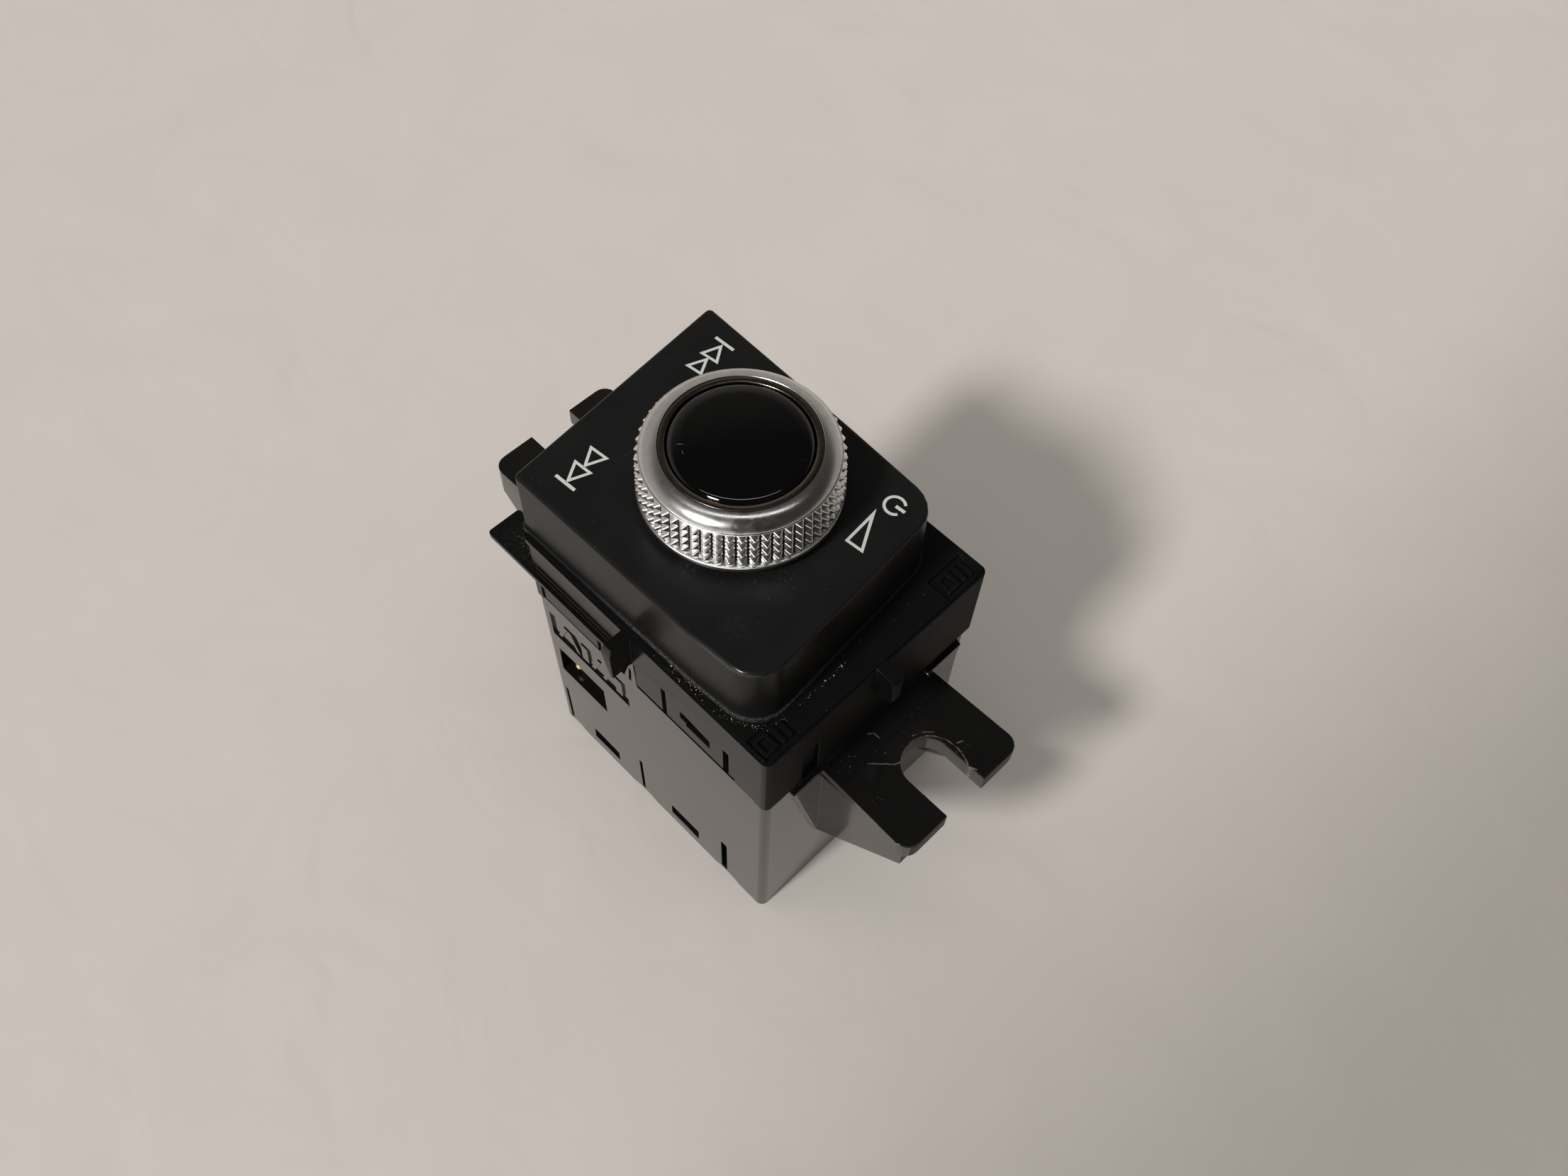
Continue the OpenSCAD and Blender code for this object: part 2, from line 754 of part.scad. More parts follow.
// Open seam along the window side, notch round the housing's tab and notch at the bracket's root
module seam_cuts() {
    x0 = frame_half_w - frame_wall - overcut;
    x1 = frame_half_w + overcut;
    block([x0, seam_y[0], housing_h - overcut], [x1, seam_y[1], housing_h + seam_gap]);
    block([x0, seam_y[1], housing_h - overcut], [x1, seam_y[2], housing_h + seam_gap / 4]);
    block([x0, rear_slot_y, housing_h - overcut], [x1, -notch_back, housing_h + seam_gap * 0.75]);
    along_x([
        [-notch_back, housing_h - overcut], [-notch_back, housing_h + 1.4], [-4.9, housing_h + 1.4],
        [-3.5, housing_h + 5.6], [-2.05, housing_h + 7.7], [seam_y[0], housing_h + 7.2],
        [seam_y[0], housing_h - overcut]
    ], x0, frame_half_w + 0.1);
    along_y([
        [11.6, housing_h - overcut], [11.6, housing_h + 8.4], [13.3, housing_h + 8.2],
        [14.65, housing_h + 7.1], [14.65, housing_h - overcut]
    ], frame_half_l - 0.9, frame_half_l + overcut);
}

// Shallow pockets in the deck's two front corners
module corner_pockets() {
    block([near_pocket_x, pocket_y, deck_z - pocket_depth],
        [frame_half_w - 0.6, frame_half_l - 0.5, deck_z + overcut]);
    block([far_pocket[0], pocket_y, deck_z - pocket_depth],
        [far_pocket[1], frame_half_l - 0.5, deck_z + overcut]);
}

// Switch board and what is on it
switch_x = 11.5;
switch_w = 6;
switch_body_h = 3.5;
nib_z = pivot_z + 1 - 2.9;
stem_z = nib_z - 0.5;
led_h = 0.8;
guide_d = 3.8;
guide_w = 7.2;
power_guide_w = 5.4;
rear_reach = min(frame_half_l - frame_wall, cover_rear - cover_wall);
guide_back_y = open_gap + slack + guide_d / 2 - rear_reach;
guides = [
    [-12.4, guide_back_y, guide_w, guide_d],
    [12.9, guide_back_y + 0.9, guide_w, guide_d],
    [-10.2, 13.5, power_guide_w, guide_d]
];

module switch_board() color(board_green) {
    x1 = frame_half_w - frame_wall - tab_t - 2 * tab_gap - slack;
    difference() {
        block([-frame_half_w + frame_wall + slack, -frame_half_l + frame_wall + slack, board_under_z],
            [x1, frame_half_l - frame_wall - slack, board_top_z]);
        for (p = board_bosses)
            translate([p[0], p[1], board_under_z - overcut])
                cylinder(h = board_t + 2 * overcut, r = screw_r + slack);
        for (i = [0:header_count - 1])
            let (x = main_board_in - header_w / 2, y = (i - (header_count - 1) / 2) * header_pitch)
                block([x - 0.4, y - 0.4, board_under_z - overcut], [x + 0.4, y + 0.4, board_top_z + overcut]);
    }
}

// Pan head screw: its head's underside at z = 0, its thread upwards
module screw(length) {
    head_h = 1.3;
    difference() {
        union() {
            translate([0, 0, -head_h])
                cylinder(h = head_h, r = screw_head_r);
            cylinder(h = length, r = screw_r - 0.02);
        }
        translate([0, 0, -head_h])
            for (turn = [0, 90])
                rotate(turn)
                    cube([2.2, 0.5, 1.4], center = true);
    }
}

module board_screws() color(bright_steel) {
    for (p = board_bosses)
        translate([p[0], p[1], board_under_z])
            screw(board_t + 4);
}

module skip_switch(x) {
    translate([x, knob_y, board_top_z])
        union() {
            block([-switch_w / 2, -switch_w / 2, 0], [switch_w / 2, switch_w / 2, switch_body_h]);
            cylinder(h = stem_z - board_top_z, r = 1.7);
        }
}

module skip_switch_left() color(satin_black) skip_switch(-switch_x);

module skip_switch_right() color(satin_black) skip_switch(switch_x);

module backlight_leds() color([0.95, 0.95, 0.85]) {
    for (guide = guides)
        block([guide[0] - 1.6, guide[1] - 0.8, board_top_z],
            [guide[0] + 1.6, guide[1] + 0.8, board_top_z + led_h]);
}

// Upright light guide from its lamp to the cover's roof
module light_guide(guide) {
    block([guide[0] - guide[2] / 2, guide[1] - guide[3] / 2, board_top_z + led_h],
        [guide[0] + guide[2] / 2, guide[1] + guide[3] / 2, roof_z]);
}

module light_guide_left() color(clear_plastic) light_guide(guides[0]);

module light_guide_right() color(clear_plastic) light_guide(guides[1]);

module light_guide_power() color(clear_plastic) light_guide(guides[2]);

// Cover
cover_corners = [
    [cover_right, -cover_rear, 0.8],
    [cover_right - 0.55, 9, 40],
    [cover_right - 1.35, cover_front, 5],
    [1.59 - cover_left, cover_front - front_slant, 5],
    [0.79 - cover_left, 0, 60],
    [-cover_left, -cover_rear - rear_slant, 0.8]
];
cover_boss_r = 2;
cover_bosses = [
    [6.6, screw_head_r + 2 * slack - rear_reach],
    [15.2, 14],
    [-3, knob_y + stand_y0 + stand_t + open_gap + cover_boss_r]
];

module cover_section(z, d) {
    translate([0, 0, z])
        linear_extrude(slice)
            polygon(rounded(inset(cover_corners, d)));
}

// Rounded lip round the foot of the cover's wall
module foot_lip() {
    out = cover_draft + foot_lip;
    round = foot_lip_h / 3;
    hull() {
        cover_section(deck_z, -out);
        cover_section(deck_z + foot_lip_h - round, -out);
        cover_section(deck_z + foot_lip_h - round / 3, round / 3 - out);
        cover_section(deck_z + foot_lip_h - slice, round - out);
    }
}

module top_cover() color(satin_black) {
    difference() {
        union() {
            difference() {
                union() {
                    foot_lip();
                    hull() {
                        cover_section(deck_z, -cover_draft);
                        for (a = [0:30:90])
                            cover_section(
                                cover_z - slice - cover_edge * (1 - sin(a)), cover_edge * (1 - cos(a)));
                    }
                }
                hull() {
                    cover_section(deck_z - overcut, cover_wall - cover_draft);
                    cover_section(roof_z - slice, cover_wall);
                }
            }
            for (p = cover_bosses)
                translate([p[0], p[1], deck_z])
                    cylinder(h = roof_z - deck_z + slack, r = cover_boss_r);
        }
        translate([0, knob_y, roof_z - overcut])
            cylinder(h = cover_wall + 2 * overcut, r = hub_hole_r);
        for (p = cover_bosses)
            translate([p[0], p[1], deck_z - overcut])
                cylinder(h = overcut + 6, r = screw_r);
    }
}

module cover_screws() color(bright_steel) {
    for (p = cover_bosses)
        translate([p[0], p[1], deck_under_z])
            screw(deck_t + 5);
}

module hub_seal() color([0.1, 0.1, 0.1]) {
    translate([0, knob_y, 0])
        tube(hub_hole_r + 2, hub_r + 0.8, roof_z - 1, roof_z);
}

// Tilting rocker
cradle_z = pivot_z + 1;
cradle_t = 1.6;
cradle_top = cradle_z + cradle_t;
end_y0 = 9.8;
end_t = 1.9;
cradle_half_w = 8.6;
arm_half_w = 3;
arm_reach = 13.6;

// Bearing stand of one tilt pin
module pivot_stand() {
    half_w = 4;
    difference() {
        union() {
            block([-half_w, stand_y0, deck_z], [half_w, stand_y0 + stand_t, pivot_z]);
            translate([0, stand_y0 + stand_t, pivot_z])
                rotate([90, 0, 0])
                    cylinder(h = stand_t, r = half_w - 0.4);
        }
        translate([0, stand_y0 + stand_t + overcut, pivot_z])
            rotate([90, 0, 0])
                cylinder(h = stand_t + 2 * overcut, r = tilt_pin_r + running_gap);
        block([-half_w - overcut, stand_y0 - overcut, deck_z - 5],
            [half_w + overcut, stand_y0 + stand_t + overcut, deck_z]);
    }
}

module pivot_stand_front() color(satin_black)
    translate([0, knob_y, 0])
        pivot_stand();

module pivot_stand_rear() color(satin_black)
    translate([0, knob_y, 0])
        mirror([0, 1, 0])
            pivot_stand();

module rocker_cradle() color([0.2, 0.2, 0.22]) {
    translate([0, knob_y, 0])
        difference() {
            union() {
                block([-cradle_half_w, -end_y0 - end_t, cradle_z],
                    [cradle_half_w, end_y0 + end_t, cradle_top]);
                block([-arm_reach, -arm_half_w, cradle_z], [arm_reach, arm_half_w, cradle_top]);
                for (side = [-1, 1]) {
                    block([side * switch_x - 1.2, -1.2, nib_z], [side * switch_x + 1.2, 1.2, cradle_top]);
                    block([-3.4, side > 0 ? end_y0 : -end_y0 - end_t, deck_z + 0.8],
                        [3.4, side > 0 ? end_y0 + end_t : -end_y0, cradle_top]);
                }
            }
            translate([0, 0, cradle_z - overcut])
                cylinder(h = cradle_t + 2 * overcut, r = neck_r + slack);
            rotate([90, 0, 0])
                translate([0, pivot_z, -end_y0 - end_t - overcut])
                    cylinder(h = 2 * (end_y0 + end_t + overcut), r = tilt_pin_r + 0.01);
        }
}

module tilt_pins() color(bright_steel) {
    translate([0, knob_y, 0])
        for (side = [0, 1])
            mirror([0, side, 0])
                translate([0, end_y0 + 0.1, pivot_z])
                    rotate([-90, 0, 0])
                        cylinder(h = stand_y0 + stand_t - end_y0, r = tilt_pin_r);
}

// Encoder, from its floor up
encoder_z = cradle_z - encoder_h;
encoder_floor = 1;
chamber_r = 5;
chamber_top = cradle_z - 1.6;
neck_top = cradle_top + 3.6;
collar_flange_r = 4.6;
collar_flange_t = 0.9;
collar_flange_z = chamber_top - open_gap - collar_flange_t;
collar_top = neck_top + press_travel + open_gap;
shaft_head_r = 3.1;
shaft_bottom = encoder_z + encoder_floor + 0.6 + press_travel + 0.1;
hub_z = collar_top + 0.2;
spring_r = 4.1;

module encoder_body() color([0.3, 0.31, 0.33]) {
    translate([0, knob_y, 0])
        difference() {
            union() {
                block([-encoder_w / 2, -encoder_w / 2, encoder_z], [encoder_w / 2, encoder_w / 2, cradle_z]);
                translate([0, 0, cradle_z])
                    cylinder(h = neck_top - cradle_z, r = neck_r);
            }
            translate([0, 0, encoder_z + encoder_floor])
                cylinder(h = chamber_top - encoder_z - encoder_floor, r = chamber_r);
            translate([0, 0, chamber_top - overcut])
                cylinder(h = neck_top - chamber_top + 2 * overcut, r = collar_r + running_gap);
        }
}

module encoder_nut() color(bright_steel) {
    nut_r = 6.6;
    nut_h = 2;
    translate([0, knob_y, cradle_top])
        difference() {
            cylinder(h = nut_h, r = nut_r, $fn = 6);
            translate([0, 0, -overcut])
                cylinder(h = nut_h + 2 * overcut, r = neck_r + 0.02);
        }
}

// Snap dome under the shaft
module press_dome() color(bright_steel) {
    translate([0, knob_y, encoder_z + encoder_floor])
        rotate_extrude()
            polygon([[0, 0.4], [0, 0.6], [1.3, 0.5], [2.4, 0.2], [2.6, 0], [2.2, 0], [1.2, 0.3]]);
}

// Points of a coil of wire with flat rings of faces, for one polyhedron
module coil_spring(r, wire, z0, z1, turns) {
    sides = 8;
    steps = 20;
    count = turns * steps;
    rise = (z1 - z0 - wire) / count;
    points = [
        for (i = [0:count])
            for (k = [0:sides - 1])
                let (a = 360 * i / steps, b = 360 * k / sides, d = r + wire / 2 * cos(b))
                    [d * cos(a), d * sin(a), z0 + wire / 2 + rise * i + wire / 2 * sin(b)]
    ];
    walls = [
        for (i = [0:count - 1])
            for (k = [0:sides - 1])
                let (next = (k + 1) % sides)
                    [i * sides + k, i * sides + next, (i + 1) * sides + next, (i + 1) * sides + k]
    ];
    ends = [[for (k = [sides - 1:-1:0]) k], [for (k = [0:sides - 1]) count * sides + k]];
    polyhedron(points, concat(walls, ends), convexity = 6);
}

module return_spring() color(bright_steel) {
    translate([0, knob_y, 0])
        coil_spring(spring_r, spring_wire, encoder_z + encoder_floor + 0.02, collar_flange_z - 0.02,
            spring_turns);
}

// Pressed by the knob, it slides in the encoder's neck and lets the shaft turn in its bore
module sliding_collar() color([0.55, 0.55, 0.5]) {
    translate([0, knob_y, 0])
        union() {
            tube(collar_r, shaft_r + running_gap, collar_flange_z, collar_top);
            tube(collar_flange_r, shaft_r + running_gap, collar_flange_z, collar_flange_z + collar_flange_t);
        }
}

// Turning shaft, its head under the collar
module encoder_shaft() color(bright_steel) {
    head_z = collar_flange_z - 0.2;
    translate([0, knob_y, 0])
        union() {
            translate([0, 0, shaft_bottom])
                cylinder(h = head_z - shaft_bottom, r = shaft_head_r);
            translate([0, 0, shaft_bottom])
                cylinder(h = hub_top - 1.2 - shaft_bottom, r = shaft_r);
        }
}

// Knob
hub_r = 5;
hub_top = ring_z - 1.6;
hub_plate_t = 1.5;
hub_skirt_t = 1.2;
sleeve_in = ring_r + 0.45;

module knob_hub() color([0.16, 0.16, 0.17]) {
    translate([0, knob_y, 0])
        difference() {
            union() {
                translate([0, 0, hub_z])
                    cylinder(h = hub_top - hub_z, r = hub_r);
                translate([0, 0, hub_top - hub_plate_t])
                    cylinder(h = hub_plate_t, r = sleeve_in - 0.05);
                tube(sleeve_in - 0.05, sleeve_in - 0.05 - hub_skirt_t, flange_z + 0.6, hub_top);
                for (a = [0:60:300])
                    rotate(a)
                        block([hub_r - 0.5, -0.5, flange_z + 1.5],
                            [sleeve_in - hub_skirt_t / 2, 0.5, hub_top - 0.2]);
            }
            translate([0, 0, hub_z - overcut])
                cylinder(h = hub_top - 1.2 + overcut - hub_z, r = shaft_r + 0.01);
        }
}

// Profile of the sleeve's outside, from the flange's foot to the ring's seat, with a zigzag
// of one point for each knurl row
function knurl_profile() =
    let (pitch = knurl_h / knurl_rows)
    [for (i = [0:knurl_rows - 1], k = [0, 1])
        let (t = (i + k * 0.5) / knurl_rows)
            [knurl_r - knurl_taper * t - (k == 0 ? knurl_depth : 0), knurl_z + pitch * (i + k * 0.5)]];

// Quarter-round bezel from its crisp edge up to the ring
function bezel_profile() =
    let (w = bezel_r - (ring_r + 0.1), land = 0.12, steps = 6)
    [
        for (i = [0:steps])
            let (angle = 90 * i / steps)
                [bezel_r - w * (1 - cos(angle)), bezel_z + land + (bezel_h - land) * sin(angle)]
    ];

module knob_sleeve() color(satin_silver) {
    top_lip = 1.55;
    outside = concat(
        [
            [sleeve_in, flange_z], [flange_r - 0.25, flange_z], [flange_r, flange_z + 0.2],
            [flange_r, knurl_z - 0.15], [flange_r - 0.3, knurl_z]
        ],
        knurl_profile(),
        [[knurl_r - knurl_taper - knurl_depth, bezel_z]],
        bezel_profile(),
        [[ring_r + 0.1, ring_z - top_lip], [sleeve_in, ring_z - top_lip]]
    );
    translate([0, knob_y, 0])
        rotate(knurl_turn)
            intersection() {
                rotate_extrude($fn = 2 * knurl_columns)
                    polygon(outside);
                union() {
                    translate([0, 0, flange_z - overcut])
                        cylinder(h = knurl_z - flange_z + overcut, r = knurl_r + 1);
                    translate([0, 0, knurl_z])
                        knurl_star();
                    translate([0, 0, bezel_z])
                        cylinder(h = bezel_h + overcut, r = knurl_r + 1);
                }
            }
}

// Star-shaped bar that cuts the knurl's columns, narrowing upwards like the rows
module knurl_star() {
    points = [
        for (i = [0:2 * knurl_columns - 1])
            let (a = 180 * i / knurl_columns, r = knurl_r - (i % 2 == 0 ? 0 : knurl_depth))
                [r * cos(a), r * sin(a)]
    ];
    linear_extrude(knurl_h, scale = 1 - knurl_taper / knurl_r)
        polygon(points);
}

module trim_ring() color(titanium_grey) {
    translate([0, knob_y, 0])
        rotate_extrude()
            polygon([
                [cap_r + 0.05, hub_top], [ring_r, hub_top], [ring_r, ring_z - 0.1],
                [ring_r - 0.1, ring_z], [cap_r + 0.15, ring_z], [cap_r + 0.05, ring_z - 0.1]
            ]);
}

// Glossy cap, its edge rounded and its top very slightly domed
module knob_cap() color([0.03, 0.03, 0.04]) {
    edge = 0.5;
    rim_z = ring_z + cap_proud;
    sphere_r = (cap_r * cap_r + cap_dome * cap_dome) / (2 * cap_dome);
    centre_z = rim_z + cap_dome - sphere_r;
    dome = [
        for (i = [0:4])
            let (r = (cap_r - edge) * (1 - i / 4))
                [r, centre_z + sqrt(sphere_r * sphere_r - r * r)]
    ];
    rim = [for (a = [0:30:60]) [cap_r - edge * (1 - cos(a)), rim_z - edge * (1 - sin(a))]];
    translate([0, knob_y, 0])
        rotate_extrude()
            polygon(concat([[0, hub_top], [cap_r, hub_top]], rim, dome));
}

lower_housing();
base_plate();
main_board();
control_chip();
filter_capacitor();
connector_shroud();
connector_pins();
brass_contact();
board_header();
header_pins();
upper_frame();
switch_board();
board_screws();
skip_switch_left();
skip_switch_right();
backlight_leds();
light_guide_left();
light_guide_right();
light_guide_power();
top_cover();
cover_screws();
hub_seal();
pivot_stand_front();
pivot_stand_rear();
rocker_cradle();
tilt_pins();
encoder_body();
encoder_nut();
press_dome();
return_spring();
sliding_collar();
encoder_shaft();
knob_hub();
knob_sleeve();
trim_ring();
knob_cap();
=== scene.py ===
"""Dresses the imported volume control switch: finishes, printed signs, wear, light and camera.

The part's frame is kept: +Z is up, +X the window side and +Y the front bracket. Sizes in the classes
are millimetres, and the meshes are in metres.
"""

import json
import logging
import math
import random
from contextlib import contextmanager
from dataclasses import dataclass, replace
from enum import Enum
from typing import Callable, ClassVar, Iterator, Sequence, Union

import bmesh
import bpy
from mathutils import Matrix, Vector

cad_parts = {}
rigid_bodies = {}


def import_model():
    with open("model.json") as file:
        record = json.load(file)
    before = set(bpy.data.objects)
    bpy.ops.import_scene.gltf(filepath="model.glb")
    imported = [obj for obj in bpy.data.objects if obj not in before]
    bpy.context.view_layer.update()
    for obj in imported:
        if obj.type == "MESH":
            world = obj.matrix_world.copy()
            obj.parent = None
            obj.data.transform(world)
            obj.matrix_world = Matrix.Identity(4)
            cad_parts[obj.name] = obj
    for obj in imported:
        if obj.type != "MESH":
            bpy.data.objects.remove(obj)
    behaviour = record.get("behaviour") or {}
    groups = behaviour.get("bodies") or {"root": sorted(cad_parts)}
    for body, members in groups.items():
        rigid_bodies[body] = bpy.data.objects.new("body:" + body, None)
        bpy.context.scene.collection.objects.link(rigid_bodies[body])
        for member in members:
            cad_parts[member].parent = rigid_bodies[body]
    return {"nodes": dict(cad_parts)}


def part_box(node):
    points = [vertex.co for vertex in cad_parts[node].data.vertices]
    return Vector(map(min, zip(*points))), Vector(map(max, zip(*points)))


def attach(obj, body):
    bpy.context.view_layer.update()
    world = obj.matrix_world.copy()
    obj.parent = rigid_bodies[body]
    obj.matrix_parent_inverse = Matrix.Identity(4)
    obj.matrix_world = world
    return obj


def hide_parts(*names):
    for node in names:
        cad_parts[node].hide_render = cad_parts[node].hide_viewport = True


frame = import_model()

MM = 0.001
LOG = logging.getLogger("volume_switch")
Colour = tuple[float, float, float]
Point = tuple[float, float, float]
Spot = tuple[float, float]
Value = Union["Term", float, Sequence[float]]
Axes = tuple["Term", "Term", "Term"]

UP = (0, 0, 1)
CORNERS = ((-1, -1), (1, -1), (1, 1), (-1, 1))
UPRIGHT = 0.5  # a face is upright below this part of its normal along Z, and level above it
FACING = 0.7  # a face looks along an axis above this part of its normal
ROUND_SAMPLES = 4  # samples of the Bevel node that rounds sharp edges
MERGE_GAP = 0.004  # corners of a CAD mesh closer than this are one
FLAT_ANGLE = 0.6  # degrees up to which its triangles are one flat face
ROOM = 2.5  # least length of an edge at a broken one, over the break's width
SLIVER = 22  # degrees; a face with a sharper corner leaves no room there
EVEN_ANGLE = 40  # degrees up to which a broken edge is shaded smooth


class Body(Enum):
    """Bodies that carry the scene's own pieces."""

    HOUSING = "housing"
    KNOB = "knob"


class Slot(Enum):
    """Material slots of the record, passed along with the scene's own pieces."""

    HOUSING = "housing_black"
    FRAME = "frame_black"
    COVER = "cover_black"
    INNER = "inner_plastic"
    SLEEVE = "knob_silver"
    RING = "ring_metal"
    CAP = "cap_black"
    FOAM = "seal_foam"


def operator(operation: str, swapped: bool = False) -> Callable[["Term", Value], "Term"]:
    """Makes the method of one operator, which adds a Math node on two values.

    Args:
        operation: the node's operation.
        swapped: True for a reflected form, where the other value comes first.

    Returns:
        The method.
    """

    def method(self: "Term", other: Value) -> "Term":
        """Result of the operation on this value and another."""
        return self.shader.math(operation, *((other, self) if swapped else (self, other)))

    return method


class Term:
    """One value of a shader expression. Its operators add Math nodes."""

    __add__ = __radd__ = operator("ADD")
    __mul__ = __rmul__ = operator("MULTIPLY")
    __sub__, __rsub__ = operator("SUBTRACT"), operator("SUBTRACT", swapped=True)
    __truediv__, __rtruediv__ = operator("DIVIDE"), operator("DIVIDE", swapped=True)
    __pow__, __rpow__ = operator("POWER"), operator("POWER", swapped=True)
    larger, smaller = operator("MAXIMUM"), operator("MINIMUM")

    def __init__(self, shader: "Shader", socket: bpy.types.NodeSocket) -> None:
        """Keeps the shader and the output that the value comes from."""
        self.shader = shader
        self.socket = socket

    def __abs__(self) -> "Term":
        """Size of the value without its sign."""
        return self.shader.math("ABSOLUTE", self)

    def rise(self, low: float, high: float) -> "Term":
        """Smooth step from 0 at low to 1 at high.

        Args:
            low: value at which the step starts.
            high: value at which it is full; below low it turns into a fall.

        Returns:
            The step, held between 0 and 1.
        """
        if low > high:
            return 1 - self.rise(high, low)
        return self.shader.node(
            "ShaderNodeMapRange",
            {"interpolation_type": "SMOOTHSTEP"},
            {"Value": self, "From Min": low, "From Max": high},
        )


class Shader:
    """Node tree of one material or of the world, built from Python expressions."""

    def __init__(self, owner: Union[bpy.types.Material, bpy.types.World]) -> None:
        """Empties the owner's node tree.

        Args:
            owner: the material or world to build.
        """
        owner.use_nodes = True
        self.tree = owner.node_tree
        self.tree.nodes.clear()
        self._place: Term | None = None

    def node(
        self, kind: str, settings: dict | None = None, inputs: dict | None = None, output: int | str = 0
    ) -> Term:
        """Adds any node.

        Args:
            kind: the node's type name.
            settings: its properties, set before its sockets; "stops" fills a colour ramp.
            inputs: values or links by socket name or number.
            output: the output that the result stands for.

        Returns:
            That output as a value.
        """
        made = self.tree.nodes.new(kind)
        for name, value in (settings or {}).items():
            if name == "stops":
                stops = made.color_ramp.elements
                for index, (place, colour) in enumerate(value):
                    stop = stops[index] if index < 2 else stops.new(place)  # a new ramp has two
                    stop.position = place
                    stop.color = (*colour, 1.0)
            else:
                setattr(made, name, value)
        for name, value in (inputs or {}).items():
            socket = made.inputs[name]
            if isinstance(value, Term):
                self.tree.links.new(value.socket, socket)
            elif socket.type == "RGBA" and len(value) == 3:
                socket.default_value = (*value, 1.0)
            else:
                socket.default_value = value
        return Term(self, made.outputs[output] if made.outputs else None)

    def math(self, operation: str, *values: Value) -> Term:
        """Adds one Math node on the given values."""
        return self.node("ShaderNodeMath", {"operation": operation}, dict(enumerate(values)))

    def vector(self, operation: str, *values: Value) -> Term:
        """Adds one Vector Math node on the given values."""
        output = "Value" if operation in ("DOT_PRODUCT", "DISTANCE") else "Vector"
        return self.node("ShaderNodeVectorMath", {"operation": operation}, dict(enumerate(values)), output)

    def scaled(self, vector: Value, factor: Value) -> Term:
        """A vector times a number."""
        return self.node("ShaderNodeVectorMath", {"operation": "SCALE"}, {0: vector, "Scale": factor})

    def place(self) -> Term:
        """Gives the object coordinates in millimetres.

        Returns:
            The coordinates, from nodes that are made once.
        """
        if self._place is None:
            self._place = self.scaled(self.node("ShaderNodeTexCoord", output="Object"), 1 / MM)
        return self._place

    def axes(self) -> Axes:
        """X, Y and Z of the object coordinates in millimetres."""
        split = self.node("ShaderNodeSeparateXYZ", inputs={0: self.place()}).socket.node
        return tuple(Term(self, split.outputs[name]) for name in "XYZ")

    def stretched(self, turn: float, stretch: Point) -> Term:
        """Object coordinates turned about Z and stretched.

        Args:
            turn: angle in degrees.
            stretch: scale along each axis after the turn.

        Returns:
            The new coordinates.
        """
        turned = self.node(
            "ShaderNodeMapping", inputs={"Vector": self.place(), "Rotation": (0, 0, math.radians(turn))}
        )
        return self.node("ShaderNodeMapping", inputs={"Vector": turned, "Scale": stretch})

    def noise(self, size: float, detail: float, where: Term | None = None, warp: float = 0) -> Term:
        """Cloudy noise between 0 and 1, of clouds as wide as a size in millimetres."""
        inputs = {"Vector": where or self.place(), "Scale": 1 / size, "Detail": detail, "Distortion": warp}
        return self.node("ShaderNodeTexNoise", inputs=inputs)

    def cells(self, size: float) -> Term:
        """Distance to the nearest of scattered points, over their mean spacing in millimetres."""
        return self.node("ShaderNodeTexVoronoi", inputs={"Vector": self.place(), "Scale": 1 / size})

    def attribute(self, name: str) -> Term:
        """A number that the piece's faces carry, or 0."""
        return self.node("ShaderNodeAttribute", {"attribute_name": name}, output="Fac")

    def mix(self, share: Value, first: Value, second: Value) -> Term:
        """Blend of two colours, where share is that of the second."""
        return self.node("ShaderNodeMix", {"data_type": "RGBA"}, {0: share, 6: first, 7: second}, output=2)

    def bump(self, height: Term, depth: float, edge: float = 0) -> Term:
        """Normal bent by a height field.

        Args:
            height: the field, from 0 to 1.
            depth: its full depth in millimetres.
            edge: radius in millimetres at which sharp edges look rounded, or 0.

        Returns:
            The bent normal.
        """
        inputs = {"Height": height, "Distance": depth * MM}
        if edge:
            inputs["Normal"] = self.node("ShaderNodeBevel", {"samples": ROUND_SAMPLES}, {"Radius": edge * MM})
        return self.node("ShaderNodeBump", inputs=inputs)

    def surface(self, colour: Value, roughness: Value, normal: Term | None = None, **others: Value) -> None:
        """Ends the material in a Principled shader.

        Args:
            colour: its Base Color.
            roughness: its Roughness.
            normal: its Normal, where that is bent.
            others: its other sockets by name, each with _ for a space.
        """
        inputs = {"Base Color": colour, "Roughness": roughness}
        inputs |= {name.replace("_", " "): value for name, value in others.items()}
        if normal is not None:
            inputs["Normal"] = normal
        shader = self.node("ShaderNodeBsdfPrincipled", inputs=inputs)
        self.node("ShaderNodeOutputMaterial", inputs={"Surface": shader})


